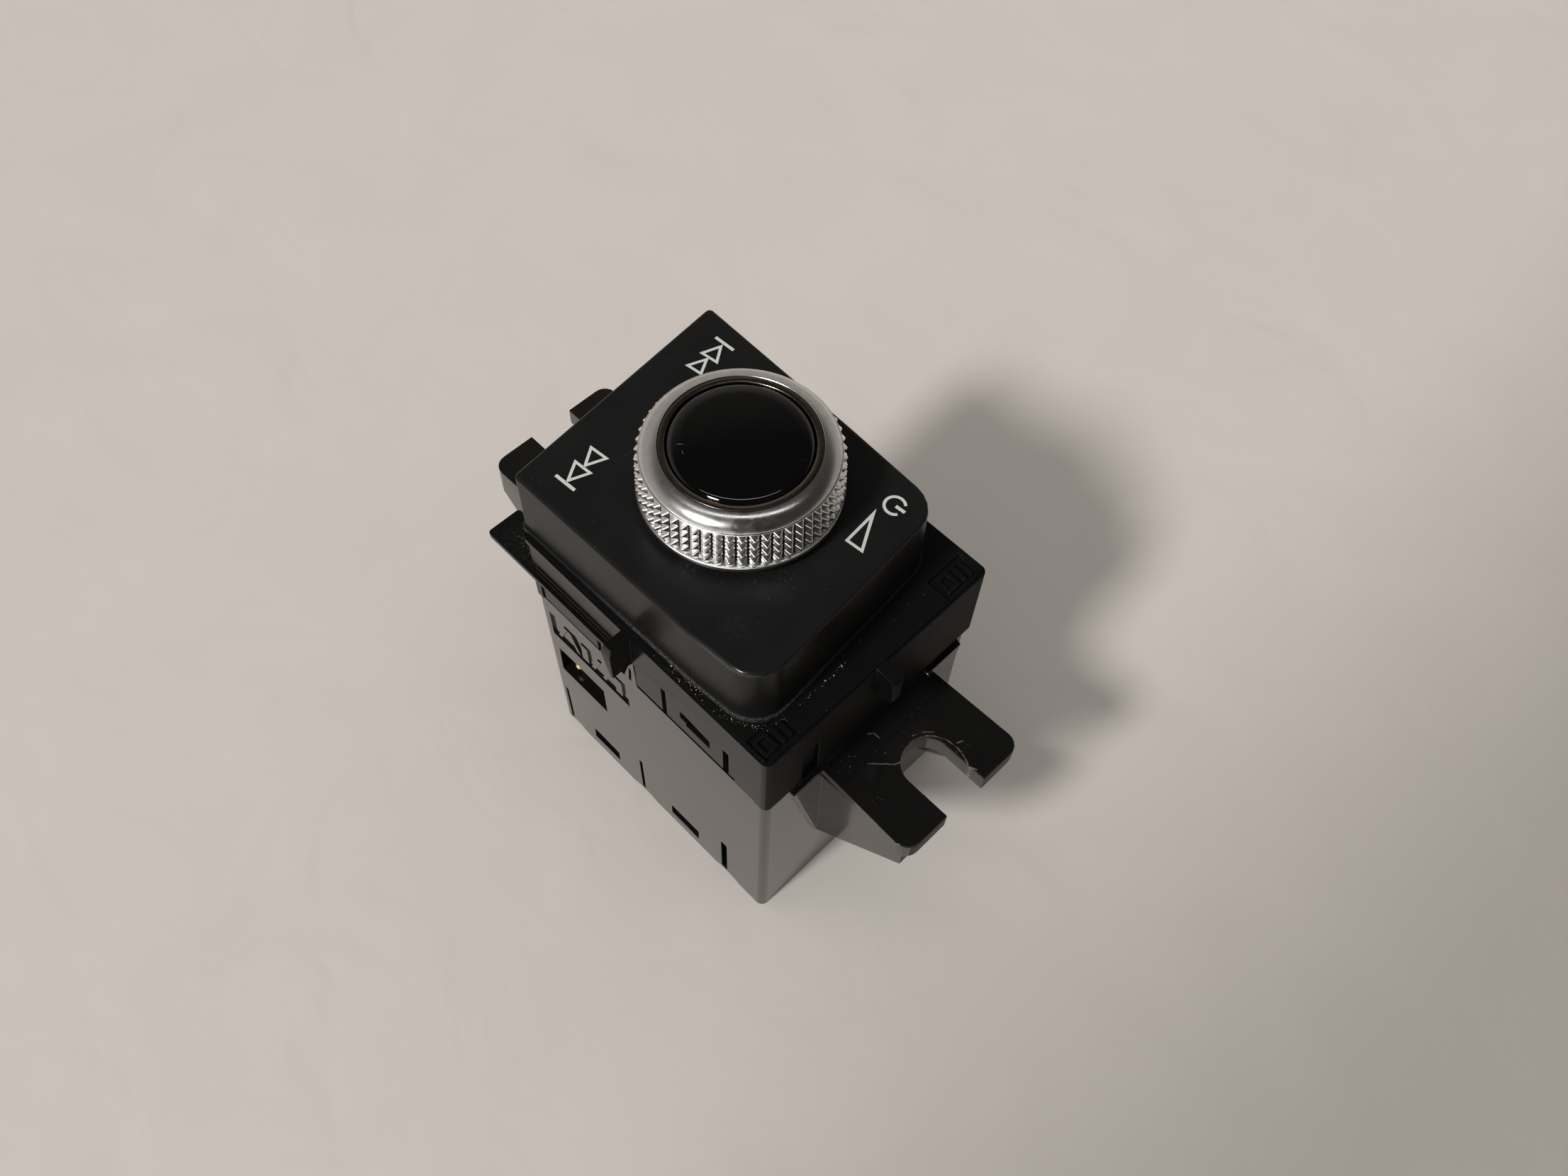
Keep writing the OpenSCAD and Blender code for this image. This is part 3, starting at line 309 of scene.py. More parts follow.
@dataclass(frozen=True)
class Scuff:
    """Uneven scratch on a level face, along a line of points."""

    points: tuple[Spot, ...]
    width: float = 0.1
    fade: ClassVar[Spot] = (1.0, 0.3)
    stray_scale: ClassVar[float] = 2.0

    def reach(self, shader: Shader, level: Term) -> Term:
        """How far a point lies from the scratch.

        Args:
            shader: the shader to build in.
            level: the point's coordinates in millimetres, without its height.

        Returns:
            The distance over the scratch's width.
        """
        reach = None
        for start, end in zip(self.points, self.points[1:]):
            step = Vector((*end, 0)) - Vector((*start, 0))
            offset = shader.vector("SUBTRACT", level, (*start, 0))
            along = shader.vector("DOT_PRODUCT", offset, tuple(step / step.length_squared))
            foot = shader.scaled(tuple(step), along.larger(0).smaller(1))
            gap = shader.vector("DISTANCE", offset, foot)
            reach = gap if reach is None else reach.smaller(gap)
        return reach / self.width

    @staticmethod
    def mask(shader: Shader, scuffs: Sequence["Scuff"], wander: float = 0.25) -> Term:
        """How strongly a point is scratched.

        Args:
            shader: the shader to build in.
            scuffs: the scratches of the finish.
            wander: how far they stray from their lines in millimetres.

        Returns:
            1 along a scratch and 0 away from it.
        """
        inputs = {"Vector": shader.place(), "Scale": Scuff.stray_scale}
        stray = shader.node("ShaderNodeTexNoise", inputs=inputs, output="Color")
        stray = shader.vector("MULTIPLY", stray, (wander, wander, 0))
        level = shader.vector("MULTIPLY_ADD", shader.place(), (1, 1, 0), stray)
        reach = scuffs[0].reach(shader, level)
        for scuff in scuffs[1:]:
            reach = reach.smaller(scuff.reach(shader, level))
        return reach.rise(*Scuff.fade)


@dataclass(frozen=True)
class Smudge:
    """Soft round patch, full in its core and gone at its radius."""

    centre: Point
    radius: float
    haze: float
    core: float = 0.2

    def mask(self, at: Axes) -> Term:
        """How hazy a point is, at most the smudge's own haze.

        Args:
            at: the point's coordinates in millimetres.

        Returns:
            The haze.
        """
        x, y, z = (abs(axis - value) for axis, value in zip(at, self.centre))
        reach = (x ** 2.0 + y ** 2.0 + z ** 2.0) ** 0.5
        return reach.rise(self.radius, self.radius * self.core) * self.haze


@dataclass(frozen=True)
class Patches:
    """Uneven patches: cloudy noise that fades in between two of its levels."""

    size: float
    detail: float
    low: float
    high: float

    def mask(self, shader: Shader, where: Term | None = None) -> Term:
        """How far a point is inside a patch, from 0 to 1."""
        return shader.noise(self.size, self.detail, where).rise(self.low, self.high)


@dataclass(frozen=True)
class Finish:
    """What every finish shares: its colour and roughness, how far both vary, and its relief."""

    name: str
    colour: Colour
    roughness: float
    tones: Spot = (1.0, 1.0)
    spread: float = 0.1
    relief: float = 0.003

    def material(self) -> bpy.types.Material:
        """Makes the material once.

        Returns:
            The material, new or as made before.
        """
        made = bpy.data.materials.get(self.name)
        if made is None:
            made = bpy.data.materials.new(self.name)
            made.diffuse_color = (*self.colour, 1.0)
            self.dress(Shader(made))
        return made

    def shade(self, factor: float) -> Colour:
        """The finish's colour, lighter or darker by a factor."""
        return tuple(min(1.0, channel * factor) for channel in self.colour)

    def tone(self, shader: Shader, share: Term) -> Term:
        """The finish's colour between the two shades of it that it varies by."""
        return shader.mix(share, *(self.shade(factor) for factor in self.tones))

    def dress(self, shader: Shader) -> None:
        """Builds the nodes; each kind of finish has its own."""
        raise NotImplementedError


@dataclass(frozen=True)
class MouldedPlastic(Finish):
    """Injection moulded plastic with a fine grain, cloudy gloss, wear and stray dust."""

    tones: Spot = (0.75, 1.3)
    mottle: float = 6
    spread: float = 0.06
    cloud: float = 4
    grain: float = 0.25
    ior: float = 1.5
    tint: Colour = (1, 1, 1)
    edge: float = 0.1
    matt: float = 0.42
    coat: float = 0.0
    coat_roughness: float = 0.08
    dust: float = 0.3
    dust_colour: Colour = (0.28, 0.26, 0.23)
    dust_size: float = 1.6
    dust_patches: Patches = Patches(9, 2, 0.5, 0.62)
    speck: Spot = (0.09, 0.04)
    speck_rough: float = 0.5
    speck_rise: float = 0.6
    scuffs: tuple[Scuff, ...] = ()
    scuff_colour: Colour = (0.1, 0.095, 0.09)
    scuff_breaks: Patches = Patches(0.9, 3, 0.3, 0.55)
    scuff_cover: float = 0.8
    scuff_rough: float = 0.25
    scuff_depth: float = 1.2
    haze_rough: float = 0.5
    smudges: tuple[Smudge, ...] = ()
    smudge_marks: Patches = Patches(0.5, 5, 0.35, 0.75)
    rim: Spot = (0, 0)
    rim_fade: Spot = (0.2, 0.06)
    rim_end: Smudge | None = None
    foot: float = 0
    foot_fade: Spot = (0.15, 0.1)
    foot_haze: Smudge | None = None
    foot_marks: Patches = Patches(0.28, 4, 0.36, 0.6)

    def haze(self, shader: Shader, at: Axes) -> Value:
        """How hazy a point is from smudges and from the haze along the foot.

        Args:
            shader: the shader to build in.
            at: the point's coordinates in millimetres.

        Returns:
            The haze, or 0 for a finish without any.
        """
        hazy = 0.0
        if self.smudges:
            marks = self.smudge_marks.mask(shader)
            for smudge in self.smudges:
                hazy = hazy + smudge.mask(at) * marks
        if self.foot_haze:
            above, below = self.foot_fade
            low = at[2].rise(self.foot + above, self.foot - below) * self.foot_marks.mask(shader)
            hazy = hazy + self.foot_haze.mask(at) * low
        return hazy

    def lacquer(self, shader: Shader, at: Axes) -> Term:
        """Weight of the clear coat: all over or on the rim alone, and none on matt faces.

        Args:
            shader: the shader to build in.
            at: the point's coordinates in millimetres.

        Returns:
            The weight.
        """
        coat = self.coat
        if self.rim_end:
            (low, high), (below, above) = self.rim, self.rim_fade
            coat = at[2].rise(low, low + below) * at[2].rise(high, high - above) * self.rim_end.mask(at)
        return (1 - shader.attribute("matt")) * coat

    def dress(self, shader: Shader) -> None:
        """Builds the plastic with its marks.

        Args:
            shader: the empty shader to fill.
        """
        at = shader.axes()
        specks = shader.cells(self.dust_size).rise(*self.speck) * self.dust_patches.mask(shader) * self.dust
        hazy = self.haze(shader, at)
        scratched = 0.0
        if self.scuffs:
            scratched = Scuff.mask(shader, self.scuffs) * self.scuff_breaks.mask(shader)
        tone = self.tone(shader, shader.noise(self.mottle, 4))
        for worn in (hazy, scratched * self.scuff_cover):
            tone = shader.mix(worn, tone, self.scuff_colour)
        matt = shader.attribute("matt") * self.matt
        gloss = self.roughness + (shader.noise(self.cloud, 4, warp=0.4) - 0.5) * self.spread + matt
        gloss = gloss + specks * self.speck_rough + hazy * self.haze_rough + scratched * self.scuff_rough
        grain = shader.noise(self.grain, 4) + specks * self.speck_rise - scratched * self.scuff_depth
        shader.surface(
            shader.mix(specks, tone, self.dust_colour),
            gloss,
            shader.bump(grain, self.relief, self.edge),
            IOR=self.ior, Specular_Tint=self.tint,
            Coat_Weight=self.lacquer(shader, at), Coat_Roughness=self.coat_roughness,
        )


@dataclass(frozen=True)
class SatinMetal(Finish):
    """Bead-blasted metal whose knurled band is polished by the plating, with painted shade in the knurl's
    grooves.
    """

    band: Spot = (0, 0)
    band_foot: Spot = (0.02, 0.1)
    band_top: Spot = (0.05, -0.1)
    ridge: Colour = (0.9, 0.89, 0.87)
    ridge_roughness: float = 0.22
    facet: Colour = (0.29, 0.282, 0.27)
    facet_roughness: float = 0.29
    # painted shade: colour at the floors of the knurl's grooves, fading to the facet colour higher up
    groove: Colour = (0.06, 0.057, 0.052)
    groove_shade_depth: float = 0.45
    axis_y: float = 0
    root: float = 13.3
    taper: float = 0.04
    tones: Spot = (1.04, 0.9)
    tone_levels: Spot = (0.3, 0.8)
    relief: float = 0.002
    cloud: float = 1.3
    cloud_rise: float = 0.6
    grain: float = 0.12
    grain_rough: float = 0.08
    worn: Smudge = Smudge((0, 0, 0), 6, 1.0)
    worn_levels: Spot = (0.4, 0.62)
    worn_share: float = 0.12
    worn_shade: float = 0.7
    worn_polish: float = 0.08
    stain: Colour = (0.3, 0.28, 0.26)
    stained: float = 0.4
    stains: Patches = Patches(0.5, 4, 0.58, 0.72)

    def dress(self, shader: Shader) -> None:
        """Builds the metal with its polished band, the painted shade in its knurl's grooves and cloudy wear.

        Args:
            shader: the empty shader to fill.
        """
        x, y, z = at = shader.axes()
        (low, high), (low_start, low_end), (high_start, high_end) = self.band, self.band_foot, self.band_top
        band = z.rise(low + low_start, low + low_end) * z.rise(high + high_start, high + high_end)
        ridge = shader.attribute("polish")
        clouds = shader.noise(self.cloud, 6, warp=0.6)
        wear = self.worn.mask(at) * clouds.rise(*self.worn_levels)
        fine = shader.noise(self.grain, 3)
        colour = self.tone(shader, clouds.rise(*self.tone_levels))
        colour = shader.mix(wear * self.worn_share, colour, self.shade(self.worn_shade))
        stained = self.stains.mask(shader) * self.stained * band * (1 - ridge)
        # painted shade: the knurl's colour darkens towards the floors of its grooves, by a point's height
        # above them
        depth = (x * x + (y - self.axis_y) ** 2.0) ** 0.5 + (z - low) * self.taper - self.root
        groove = shader.mix(depth.rise(0.0, self.groove_shade_depth), self.groove, self.facet)
        colour = shader.mix(band, colour, shader.mix(ridge, groove, self.ridge))
        satin = self.roughness + (clouds - 0.5) * self.spread + (fine - 0.5) * self.grain_rough
        satin = satin - wear * self.worn_polish
        polished = self.facet_roughness - ridge * (self.facet_roughness - self.ridge_roughness)
        shader.surface(
            shader.mix(stained, colour, self.stain),
            satin * (1 - band) + polished * band,
            shader.bump(fine + clouds * self.cloud_rise, self.relief),
            Metallic=1.0,
        )


@dataclass(frozen=True)
class PlainMetal(Finish):
    """Turned, stamped or plated metal with faint streaks and tarnish."""

    tones: Spot = (0.9, 1.05)
    spread: float = 0.15
    tarnish: Colour = (0.2, 0.17, 0.13)
    tarnished: float = 0.25
    tarnish_rough: float = 0.4
    spots: Patches = Patches(0.8, 5, 0.48, 0.7)
    streak: float = 0.6
    streak_pull: Point = (1, 1, 8)
    streak_turn: float = 20

    def dress(self, shader: Shader) -> None:
        """Builds the metal.

        Args:
            shader: the empty shader to fill.
        """
        streaks = shader.noise(self.streak, 4, shader.stretched(self.streak_turn, self.streak_pull))
        spots = self.spots.mask(shader) * self.tarnished
        shader.surface(
            shader.mix(spots, self.tone(shader, streaks), self.tarnish),
            self.roughness + (streaks - 0.5) * self.spread + spots * self.tarnish_rough,
            shader.bump(streaks, self.relief),
            Metallic=1.0,
        )


@dataclass(frozen=True)
class GlossCap(Finish):
    """Piano-black lens with hairline rub marks and short scratches."""

    spread: float = 0.02
    relief: float = 0.002
    film: float = 4
    film_rise: float = 0.3
    coat: float = 0.4
    coat_spread: float = 0.1
    coat_roughness: float = 0.03
    hairs: Patches = Patches(1.2, 2, 0.66, 0.72)
    hair_pull: Point = (0.15, 4, 1)
    hair_turn: float = 35
    hair_share: float = 0.03
    rubbed: Patches = Patches(5, 2, 0.45, 0.65)
    rubbed_share: float = 0.3
    scuffs: tuple[Scuff, ...] = ()
    wander: float = 0.05
    cut: Colour = (0.4, 0.39, 0.36)
    cut_cover: float = 0.45
    cut_rough: float = 0.3

    def dress(self, shader: Shader) -> None:
        """Builds the lens.

        Args:
            shader: the empty shader to fill.
        """
        hairs = self.hairs.mask(shader, shader.stretched(self.hair_turn, self.hair_pull))
        hairs = hairs * self.rubbed.mask(shader) * self.rubbed_share * self.hair_share
        film = shader.noise(self.film, 3, warp=0.8)
        cut = Scuff.mask(shader, self.scuffs, self.wander)
        shader.surface(
            shader.mix(cut * self.cut_cover + hairs, self.colour, self.cut),
            self.roughness + film * self.spread + hairs + cut * self.cut_rough,
            shader.bump(film * self.film_rise - cut, self.relief),
            Coat_Weight=self.coat + film * self.coat_spread, Coat_Roughness=self.coat_roughness,
        )


@dataclass(frozen=True)
class Ink(Finish):
    """Pad-printed ink with soft edges of wear and pinholes."""

    tones: Spot = (0.93, 1.03)
    relief: float = 0.004
    mottle: float = 0.4
    pinhole: float = 0.35
    pinhole_reach: Spot = (0.14, 0.06)
    pinhole_share: float = 0.35
    pinhole_shade: float = 0.4

    def dress(self, shader: Shader) -> None:
        """Builds the ink.

        Args:
            shader: the empty shader to fill.
        """
        pinholes = shader.cells(self.pinhole).rise(*self.pinhole_reach) * self.pinhole_share
        mottle = shader.noise(self.mottle, 4)
        shader.surface(
            shader.mix(pinholes, self.tone(shader, mottle), self.shade(self.pinhole_shade)),
            self.roughness + mottle * self.spread,
            shader.bump(mottle, self.relief),
        )


@dataclass(frozen=True)
class CircuitBoard(Finish):
    """Solder-masked circuit board with its copper tracks showing through."""

    tones: Spot = (1.0, 1.25)
    relief: float = 0.03
    weave: float = 0.3
    weave_rise: float = 0.2
    coat: float = 0.3
    track: Colour = (0.03, 0.19, 0.08)
    pitch: float = 1.3
    track_edge: Spot = (0.2, 0.24)
    track_lean: float = 0.12
    bend: float = 5
    bend_reach: float = 4
    tracked: Patches = Patches(6, 1, 0.45, 0.5)

    def dress(self, shader: Shader) -> None:
        """Builds the board.

        Args:
            shader: the empty shader to fill.
        """
        x, y, z = shader.axes()
        across = y + shader.noise(self.bend, 1) * self.bend_reach + (x + z) * self.track_lean
        stripes = shader.math("PINGPONG", across, self.pitch / 2)
        tracks = stripes.rise(*(self.pitch * share for share in self.track_edge)) * self.tracked.mask(shader)
        weave = shader.noise(self.weave, 2)
        shader.surface(
            shader.mix(tracks, self.tone(shader, weave), self.track),
            self.roughness + weave * self.spread,
            shader.bump(tracks + weave * self.weave_rise, self.relief),
            Coat_Weight=self.coat,
        )


@dataclass(frozen=True)
class LightGuide(Finish):
    """Clear moulded light guide, slightly milky at its faces."""

    tones: Spot = (1.0, 0.93)
    spread: float = 0.08
    relief: float = 0.01
    ripple: float = 2
    ior: float = 1.49
    clear: float = 0.85

    def dress(self, shader: Shader) -> None:
        """Builds the clear plastic.

        Args:
            shader: the empty shader to fill.
        """
        ripple = shader.noise(self.ripple, 2)
        shader.surface(
            self.tone(shader, ripple),
            self.roughness + ripple * self.spread,
            shader.bump(ripple, self.relief),
            IOR=self.ior, Transmission_Weight=self.clear,
        )


@dataclass(frozen=True)
class Foam(Finish):
    """Open-cell sealing foam."""

    tones: Spot = (0.5, 1.3)
    relief: float = 0.08
    pore: float = 0.35

    def dress(self, shader: Shader) -> None:
        """Builds the foam."""
        pores = shader.cells(self.pore)
        shader.surface(self.tone(shader, pores), self.roughness, shader.bump(pores, self.relief))


@dataclass(frozen=True)
class Grit(Finish):
    """Sandy dust: each grain has its own tint, from near black over rust to pale beige."""

    tints: tuple[tuple[float, Colour], ...] = (
        (0.36, (0.1, 0.09, 0.08)), (0.46, (0.33, 0.28, 0.22)), (0.52, (0.4, 0.18, 0.06)),
    )
    pale_from: float = 0.56
    patch: float = 0.9

    def dress(self, shader: Shader) -> None:
        """Builds the dust.

        Args:
            shader: the empty shader to fill.
        """
        stops = [*self.tints, (self.pale_from, self.colour)]
        tint = shader.node("ShaderNodeValToRGB", {"stops": stops}, {"Fac": shader.noise(self.patch, 2)})
        shader.surface(tint, self.roughness)


@dataclass(frozen=True)
class TableTop(Finish):
    """Pale laminated table with faint creases, bumped and darkened along them as painted shade."""

    tones: Spot = (0.96, 1.03)
    relief: float = 0.5
    shine: float = 0.2
    cloud: float = 26
    web: float = 70
    # the faint creases: their width, how strongly and how dark their painted shade is, its depth as a bump,
    # and where they show
    crease_width: float = 0.05
    crease_shade_share: float = 0.12
    crease_shade: float = 0.85
    crease_depth: float = 0.15
    creased: Patches = Patches(60, 2, 0.4, 0.7)

    def dress(self, shader: Shader) -> None:
        """Builds the table top.

        Args:
            shader: the empty shader to fill.
        """
        clouds = shader.noise(self.cloud, 4, warp=0.6)
        creases = abs(shader.noise(self.web, 3, warp=0.8) - 0.5).rise(self.crease_width, 0.0)
        creases = creases * self.creased.mask(shader)
        shader.surface(
            # painted shade: the colour is darkened along the creases, where shade would fall in them
            shader.mix(creases * self.crease_shade_share, self.tone(shader, clouds), self.shade(self.crease_shade)),
            self.roughness,
            shader.bump(clouds - creases * self.crease_depth, self.relief),
            Specular_IOR_Level=self.shine,
        )


class Bench:
    """Hand tools of the bench: start a primitive, select by place, copy, bevel and join."""

    @staticmethod
    def activate(*objects: bpy.types.Object) -> None:
        """Selects only these objects, the first of them active.

        Args:
            objects: the objects to work on.
        """
        bpy.ops.object.select_all(action="DESELECT")
        for obj in objects:
            obj.select_set(True)
        bpy.context.view_layer.objects.active = objects[0]

    @staticmethod
    def named(name: str) -> bpy.types.Object:
        """Names the object in hand and its mesh.

        Args:
            name: the new name.

        Returns:
            The object.
        """
        obj = bpy.context.object
        obj.name = obj.data.name = name
        return obj

    @staticmethod
    def primitive(name: str, add: Callable[..., set], **sizes: object) -> bpy.types.Object:
        """Adds a named primitive.

        Args:
            name: the new piece's name.
            add: Blender's operator for the primitive.
            sizes: what the operator takes.

        Returns:
            The primitive.
        """
        bpy.ops.object.select_all(action="DESELECT")
        add(**sizes)
        return Bench.named(name)

    @staticmethod
    @contextmanager
    def editing(obj: bpy.types.Object, mode: str = "FACE", chosen: str = "DESELECT") -> Iterator[None]:
        """Edit mode on one object.

        Args:
            obj: the object to edit.
            mode: VERT, EDGE or FACE.
            chosen: SELECT to start with all of it selected, DESELECT with nothing.

        Yields:
            Nothing; the edit ends with the block.
        """
        Bench.activate(obj)
        bpy.ops.object.mode_set(mode="EDIT")
        bpy.ops.mesh.select_mode(type=mode)
        bpy.ops.mesh.select_all(action=chosen)
        yield
        bpy.ops.object.mode_set(mode="OBJECT")

    @staticmethod
    def pick(obj: bpy.types.Object, kind: str, test: Callable[[object], bool]) -> int:
        """Selects only what passes a test, in edit mode.

        Args:
            obj: the object in edit mode.
            kind: verts, edges or faces.
            test: takes one element and says whether it is wanted.

        Returns:
            How many are selected.
        """
        bpy.ops.mesh.select_all(action="DESELECT")
        mesh = bmesh.from_edit_mesh(obj.data)
        found = [item for item in getattr(mesh, kind) if test(item)]
        for item in found:
            item.select_set(True)
        mesh.select_flush_mode()
        bmesh.update_edit_mesh(obj.data)
        return len(found)

    @staticmethod
    def face_outwards() -> None:
        """Turns all faces outwards, in edit mode."""
        bpy.ops.mesh.select_all(action="SELECT")
        bpy.ops.mesh.normals_make_consistent(inside=False)

    @staticmethod
    def settle(obj: bpy.types.Object) -> bpy.types.Object:
        """Moves the object's place into its mesh.

        Args:
            obj: the object.

        Returns:
            The same object.
        """
        Bench.activate(obj)
        bpy.ops.object.transform_apply(location=True, rotation=True, scale=True)
        return obj

    @staticmethod
    def smooth(obj: bpy.types.Object, angle: float) -> bpy.types.Object:
        """Shades the object smooth across its blunt edges.

        Args:
            obj: the object.
            angle: degrees below which an edge is blunt.

        Returns:
            The same object.
        """
        Bench.activate(obj)
        bpy.ops.object.shade_smooth_by_angle(angle=math.radians(angle))
        return obj

    @staticmethod
    def even(obj: bpy.types.Object, angle: float = EVEN_ANGLE) -> bpy.types.Object:
        """Smooths the object, with flat faces kept flat up to their rounded edges.

        Args:
            obj: the object.
            angle: degrees below which an edge is shaded smooth.

        Returns:
            The same object.
        """
        Bench.smooth(obj, angle)
        even = obj.modifiers.new("even", "WEIGHTED_NORMAL")
        even.keep_sharp = True
        bpy.ops.object.modifier_apply(modifier=even.name)
        return obj

    @staticmethod
    def roomy(vertex: bmesh.types.BMVert, width: float) -> bool:
        """Whether a broken edge has room to end at a vertex.

        Args:
            vertex: the edge's end.
            width: width of the broken edge in metres.

        Returns:
            True if the edges there are long enough, and no face is a sliver there.
        """
        long = all(edge.calc_length() > ROOM * width for edge in vertex.link_edges)
        angles = [math.degrees(loop.calc_angle()) for loop in vertex.link_loops]
        return long and all(SLIVER < angle < 360 - SLIVER for angle in angles)

    @staticmethod
    def bevel(obj: bpy.types.Object, width: float, angle: float = 30, segments: int = 2) -> bpy.types.Object:
        """Breaks the object's edges wherever there is room, and evens its shading.

        Args:
            obj: the object to finish.
            width: width of the broken edges in millimetres.
            angle: least angle in degrees at which an edge is broken.
            segments: steps across a broken edge.

        Returns:
            The same object.
        """
        least, size = math.radians(angle), width * MM

        def wanted(edge: bmesh.types.BMEdge) -> bool:
            """A sharp edge with room at both ends."""
            sharp = edge.is_manifold and edge.calc_face_angle() > least
            return sharp and all(Bench.roomy(vertex, size) for vertex in edge.verts)

        with Bench.editing(obj, "EDGE"):
            if Bench.pick(obj, "edges", wanted):
                bpy.ops.mesh.bevel(offset=size, segments=segments, clamp_overlap=False, miter_outer="ARC")
        return Bench.even(obj)

    @staticmethod
    def mark(obj: bpy.types.Object, name: str, test: Callable[[bpy.types.MeshPolygon], bool]) -> None:
        """Marks some faces for the materials, by 1 in a new attribute that is 0 on the rest.

        Args:
            obj: the object.
            name: the attribute's name.
            test: takes a face and says whether it is marked.
        """
        values = obj.data.attributes.new(name, "FLOAT", "FACE")
        for face, value in zip(obj.data.polygons, values.data):
            value.value = float(test(face))

    @staticmethod
    def copy_node(node: str, name: str) -> bpy.types.Object:
        """Copies a CAD node's mesh as a clean shell of whole faces.

        Args:
            node: the CAD node's name.
            name: the new piece's name.

        Returns:
            The new piece.
        """
        mesh = frame["nodes"][node].data.copy()
        mesh.materials.clear()
        obj = bpy.data.objects.new(name, mesh)
        bpy.context.scene.collection.objects.link(obj)
        Bench.activate(obj)
        if mesh.has_custom_normals:
            bpy.ops.mesh.customdata_custom_splitnormals_clear()
        with Bench.editing(obj, "VERT", "SELECT"):
            bpy.ops.mesh.remove_doubles(threshold=MERGE_GAP * MM)
            bpy.ops.mesh.dissolve_limited(angle_limit=math.radians(FLAT_ANGLE))
        return obj

    @staticmethod
    def copies(obj: bpy.types.Object, places: Sequence[Matrix]) -> bpy.types.Object:
        """Joins a copy of the object at each place into one, and drops the first.

        Args:
            obj: the object to repeat.
            places: where each copy goes.

        Returns:
            The joined object.
        """
        made = []
        for place in places:
            copy = obj.copy()
            copy.data = obj.data.copy()
            copy.data.transform(place)
            bpy.context.scene.collection.objects.link(copy)
            made.append(copy)
        name = obj.name
        bpy.data.objects.remove(obj)
        return Bench.join(name, made)

    @staticmethod
    def join(name: str, objects: Sequence[bpy.types.Object]) -> bpy.types.Object:
        """Joins objects into one.

        Args:
            name: the joined object's name.
            objects: the objects, whose first keeps its place.

        Returns:
            The joined object.
        """
        Bench.activate(*objects)
        if len(objects) > 1:
            bpy.ops.object.join()
        return Bench.named(name)

    @staticmethod
    def turned(
        name: str, profile: Sequence[Spot], centre: Spot, steps: int, closed: bool
    ) -> bpy.types.Object:
        """Turns a profile about an upright axis: a ring is extruded and scaled from point to point.

        Args:
            name: the new piece's name.
            profile: radius and height of each point in millimetres, from the outside in.
            centre: where the axis stands.
            steps: faces round the axis.
            closed: True to bridge the last ring to the first, False to close it at the axis.

        Returns:
            The turned piece.
        """
        axis = Vector((*centre, 0)) * MM
        radius, foot = profile[0]
        obj = Bench.settle(Bench.primitive(
            name, bpy.ops.mesh.primitive_circle_add,
            vertices=steps, radius=radius * MM, location=axis + Vector(UP) * foot * MM,
        ))
        with Bench.editing(obj, "EDGE", "SELECT"):
            for (r0, z0), (r1, z1) in zip(profile, profile[1:]):
                bpy.ops.mesh.extrude_region_move(TRANSFORM_OT_translate={"value": (0, 0, (z1 - z0) * MM)})
                if r1 != r0:
                    bpy.ops.transform.resize(
                        value=(r1 / r0, r1 / r0, 1), center_override=axis + Vector(UP) * z1 * MM
                    )
            if closed:
                Bench.pick(obj, "edges", lambda edge: edge.is_boundary)
                bpy.ops.mesh.bridge_edge_loops()
            else:
                bpy.ops.mesh.merge(type="CENTER")
            Bench.face_outwards()
        return obj

    @staticmethod
    def flat(corners: Sequence[Point], normal: Point, rise: float, line: float = 0) -> bpy.types.Object:
        """Thin raised shape on a flat face, filled or as an outline.

        Args:
            corners: its outline in millimetres.
            normal: the way it is raised.
            rise: its thickness in millimetres.
            line: width of the outline, or 0 to fill it.

        Returns:
            The raised shape.
        """
        obj = Bench.primitive(
            "flat", bpy.ops.mesh.primitive_circle_add, vertices=len(corners), radius=MM, fill_type="NGON"
        )
        for vertex, corner in zip(obj.data.vertices, corners):
            vertex.co = Vector(corner) * MM
        with Bench.editing(obj, chosen="SELECT"):
            if line:
                bpy.ops.mesh.inset(thickness=line * MM, depth=0)
                bpy.ops.mesh.delete(type="FACE")
                bpy.ops.mesh.select_all(action="SELECT")
            bpy.ops.mesh.extrude_region_move(TRANSFORM_OT_translate={"value": Vector(normal) * rise * MM})
            Bench.face_outwards()
        return obj


def present(
    obj: bpy.types.Object, finish: Finish, body: Body, slot: Slot, replaced: Sequence[str] = ()
) -> None:
    """Gives a finished piece its material and body, and reports it.

    Args:
        obj: the piece.
        finish: what it is finished in.
        body: the CAD body that it moves with.
        slot: the record's material slot; not used.
        replaced: CAD nodes that it stands for.
    """
    obj.data.materials.clear()
    obj.data.materials.append(finish.material())
    for polygon in obj.data.polygons:
        polygon.material_index = 0
    if replaced:
        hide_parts(*replaced)
    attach(obj, body.value)
    LOG.info("%s: %d faces, %s", obj.name, len(obj.data.polygons), finish.name)


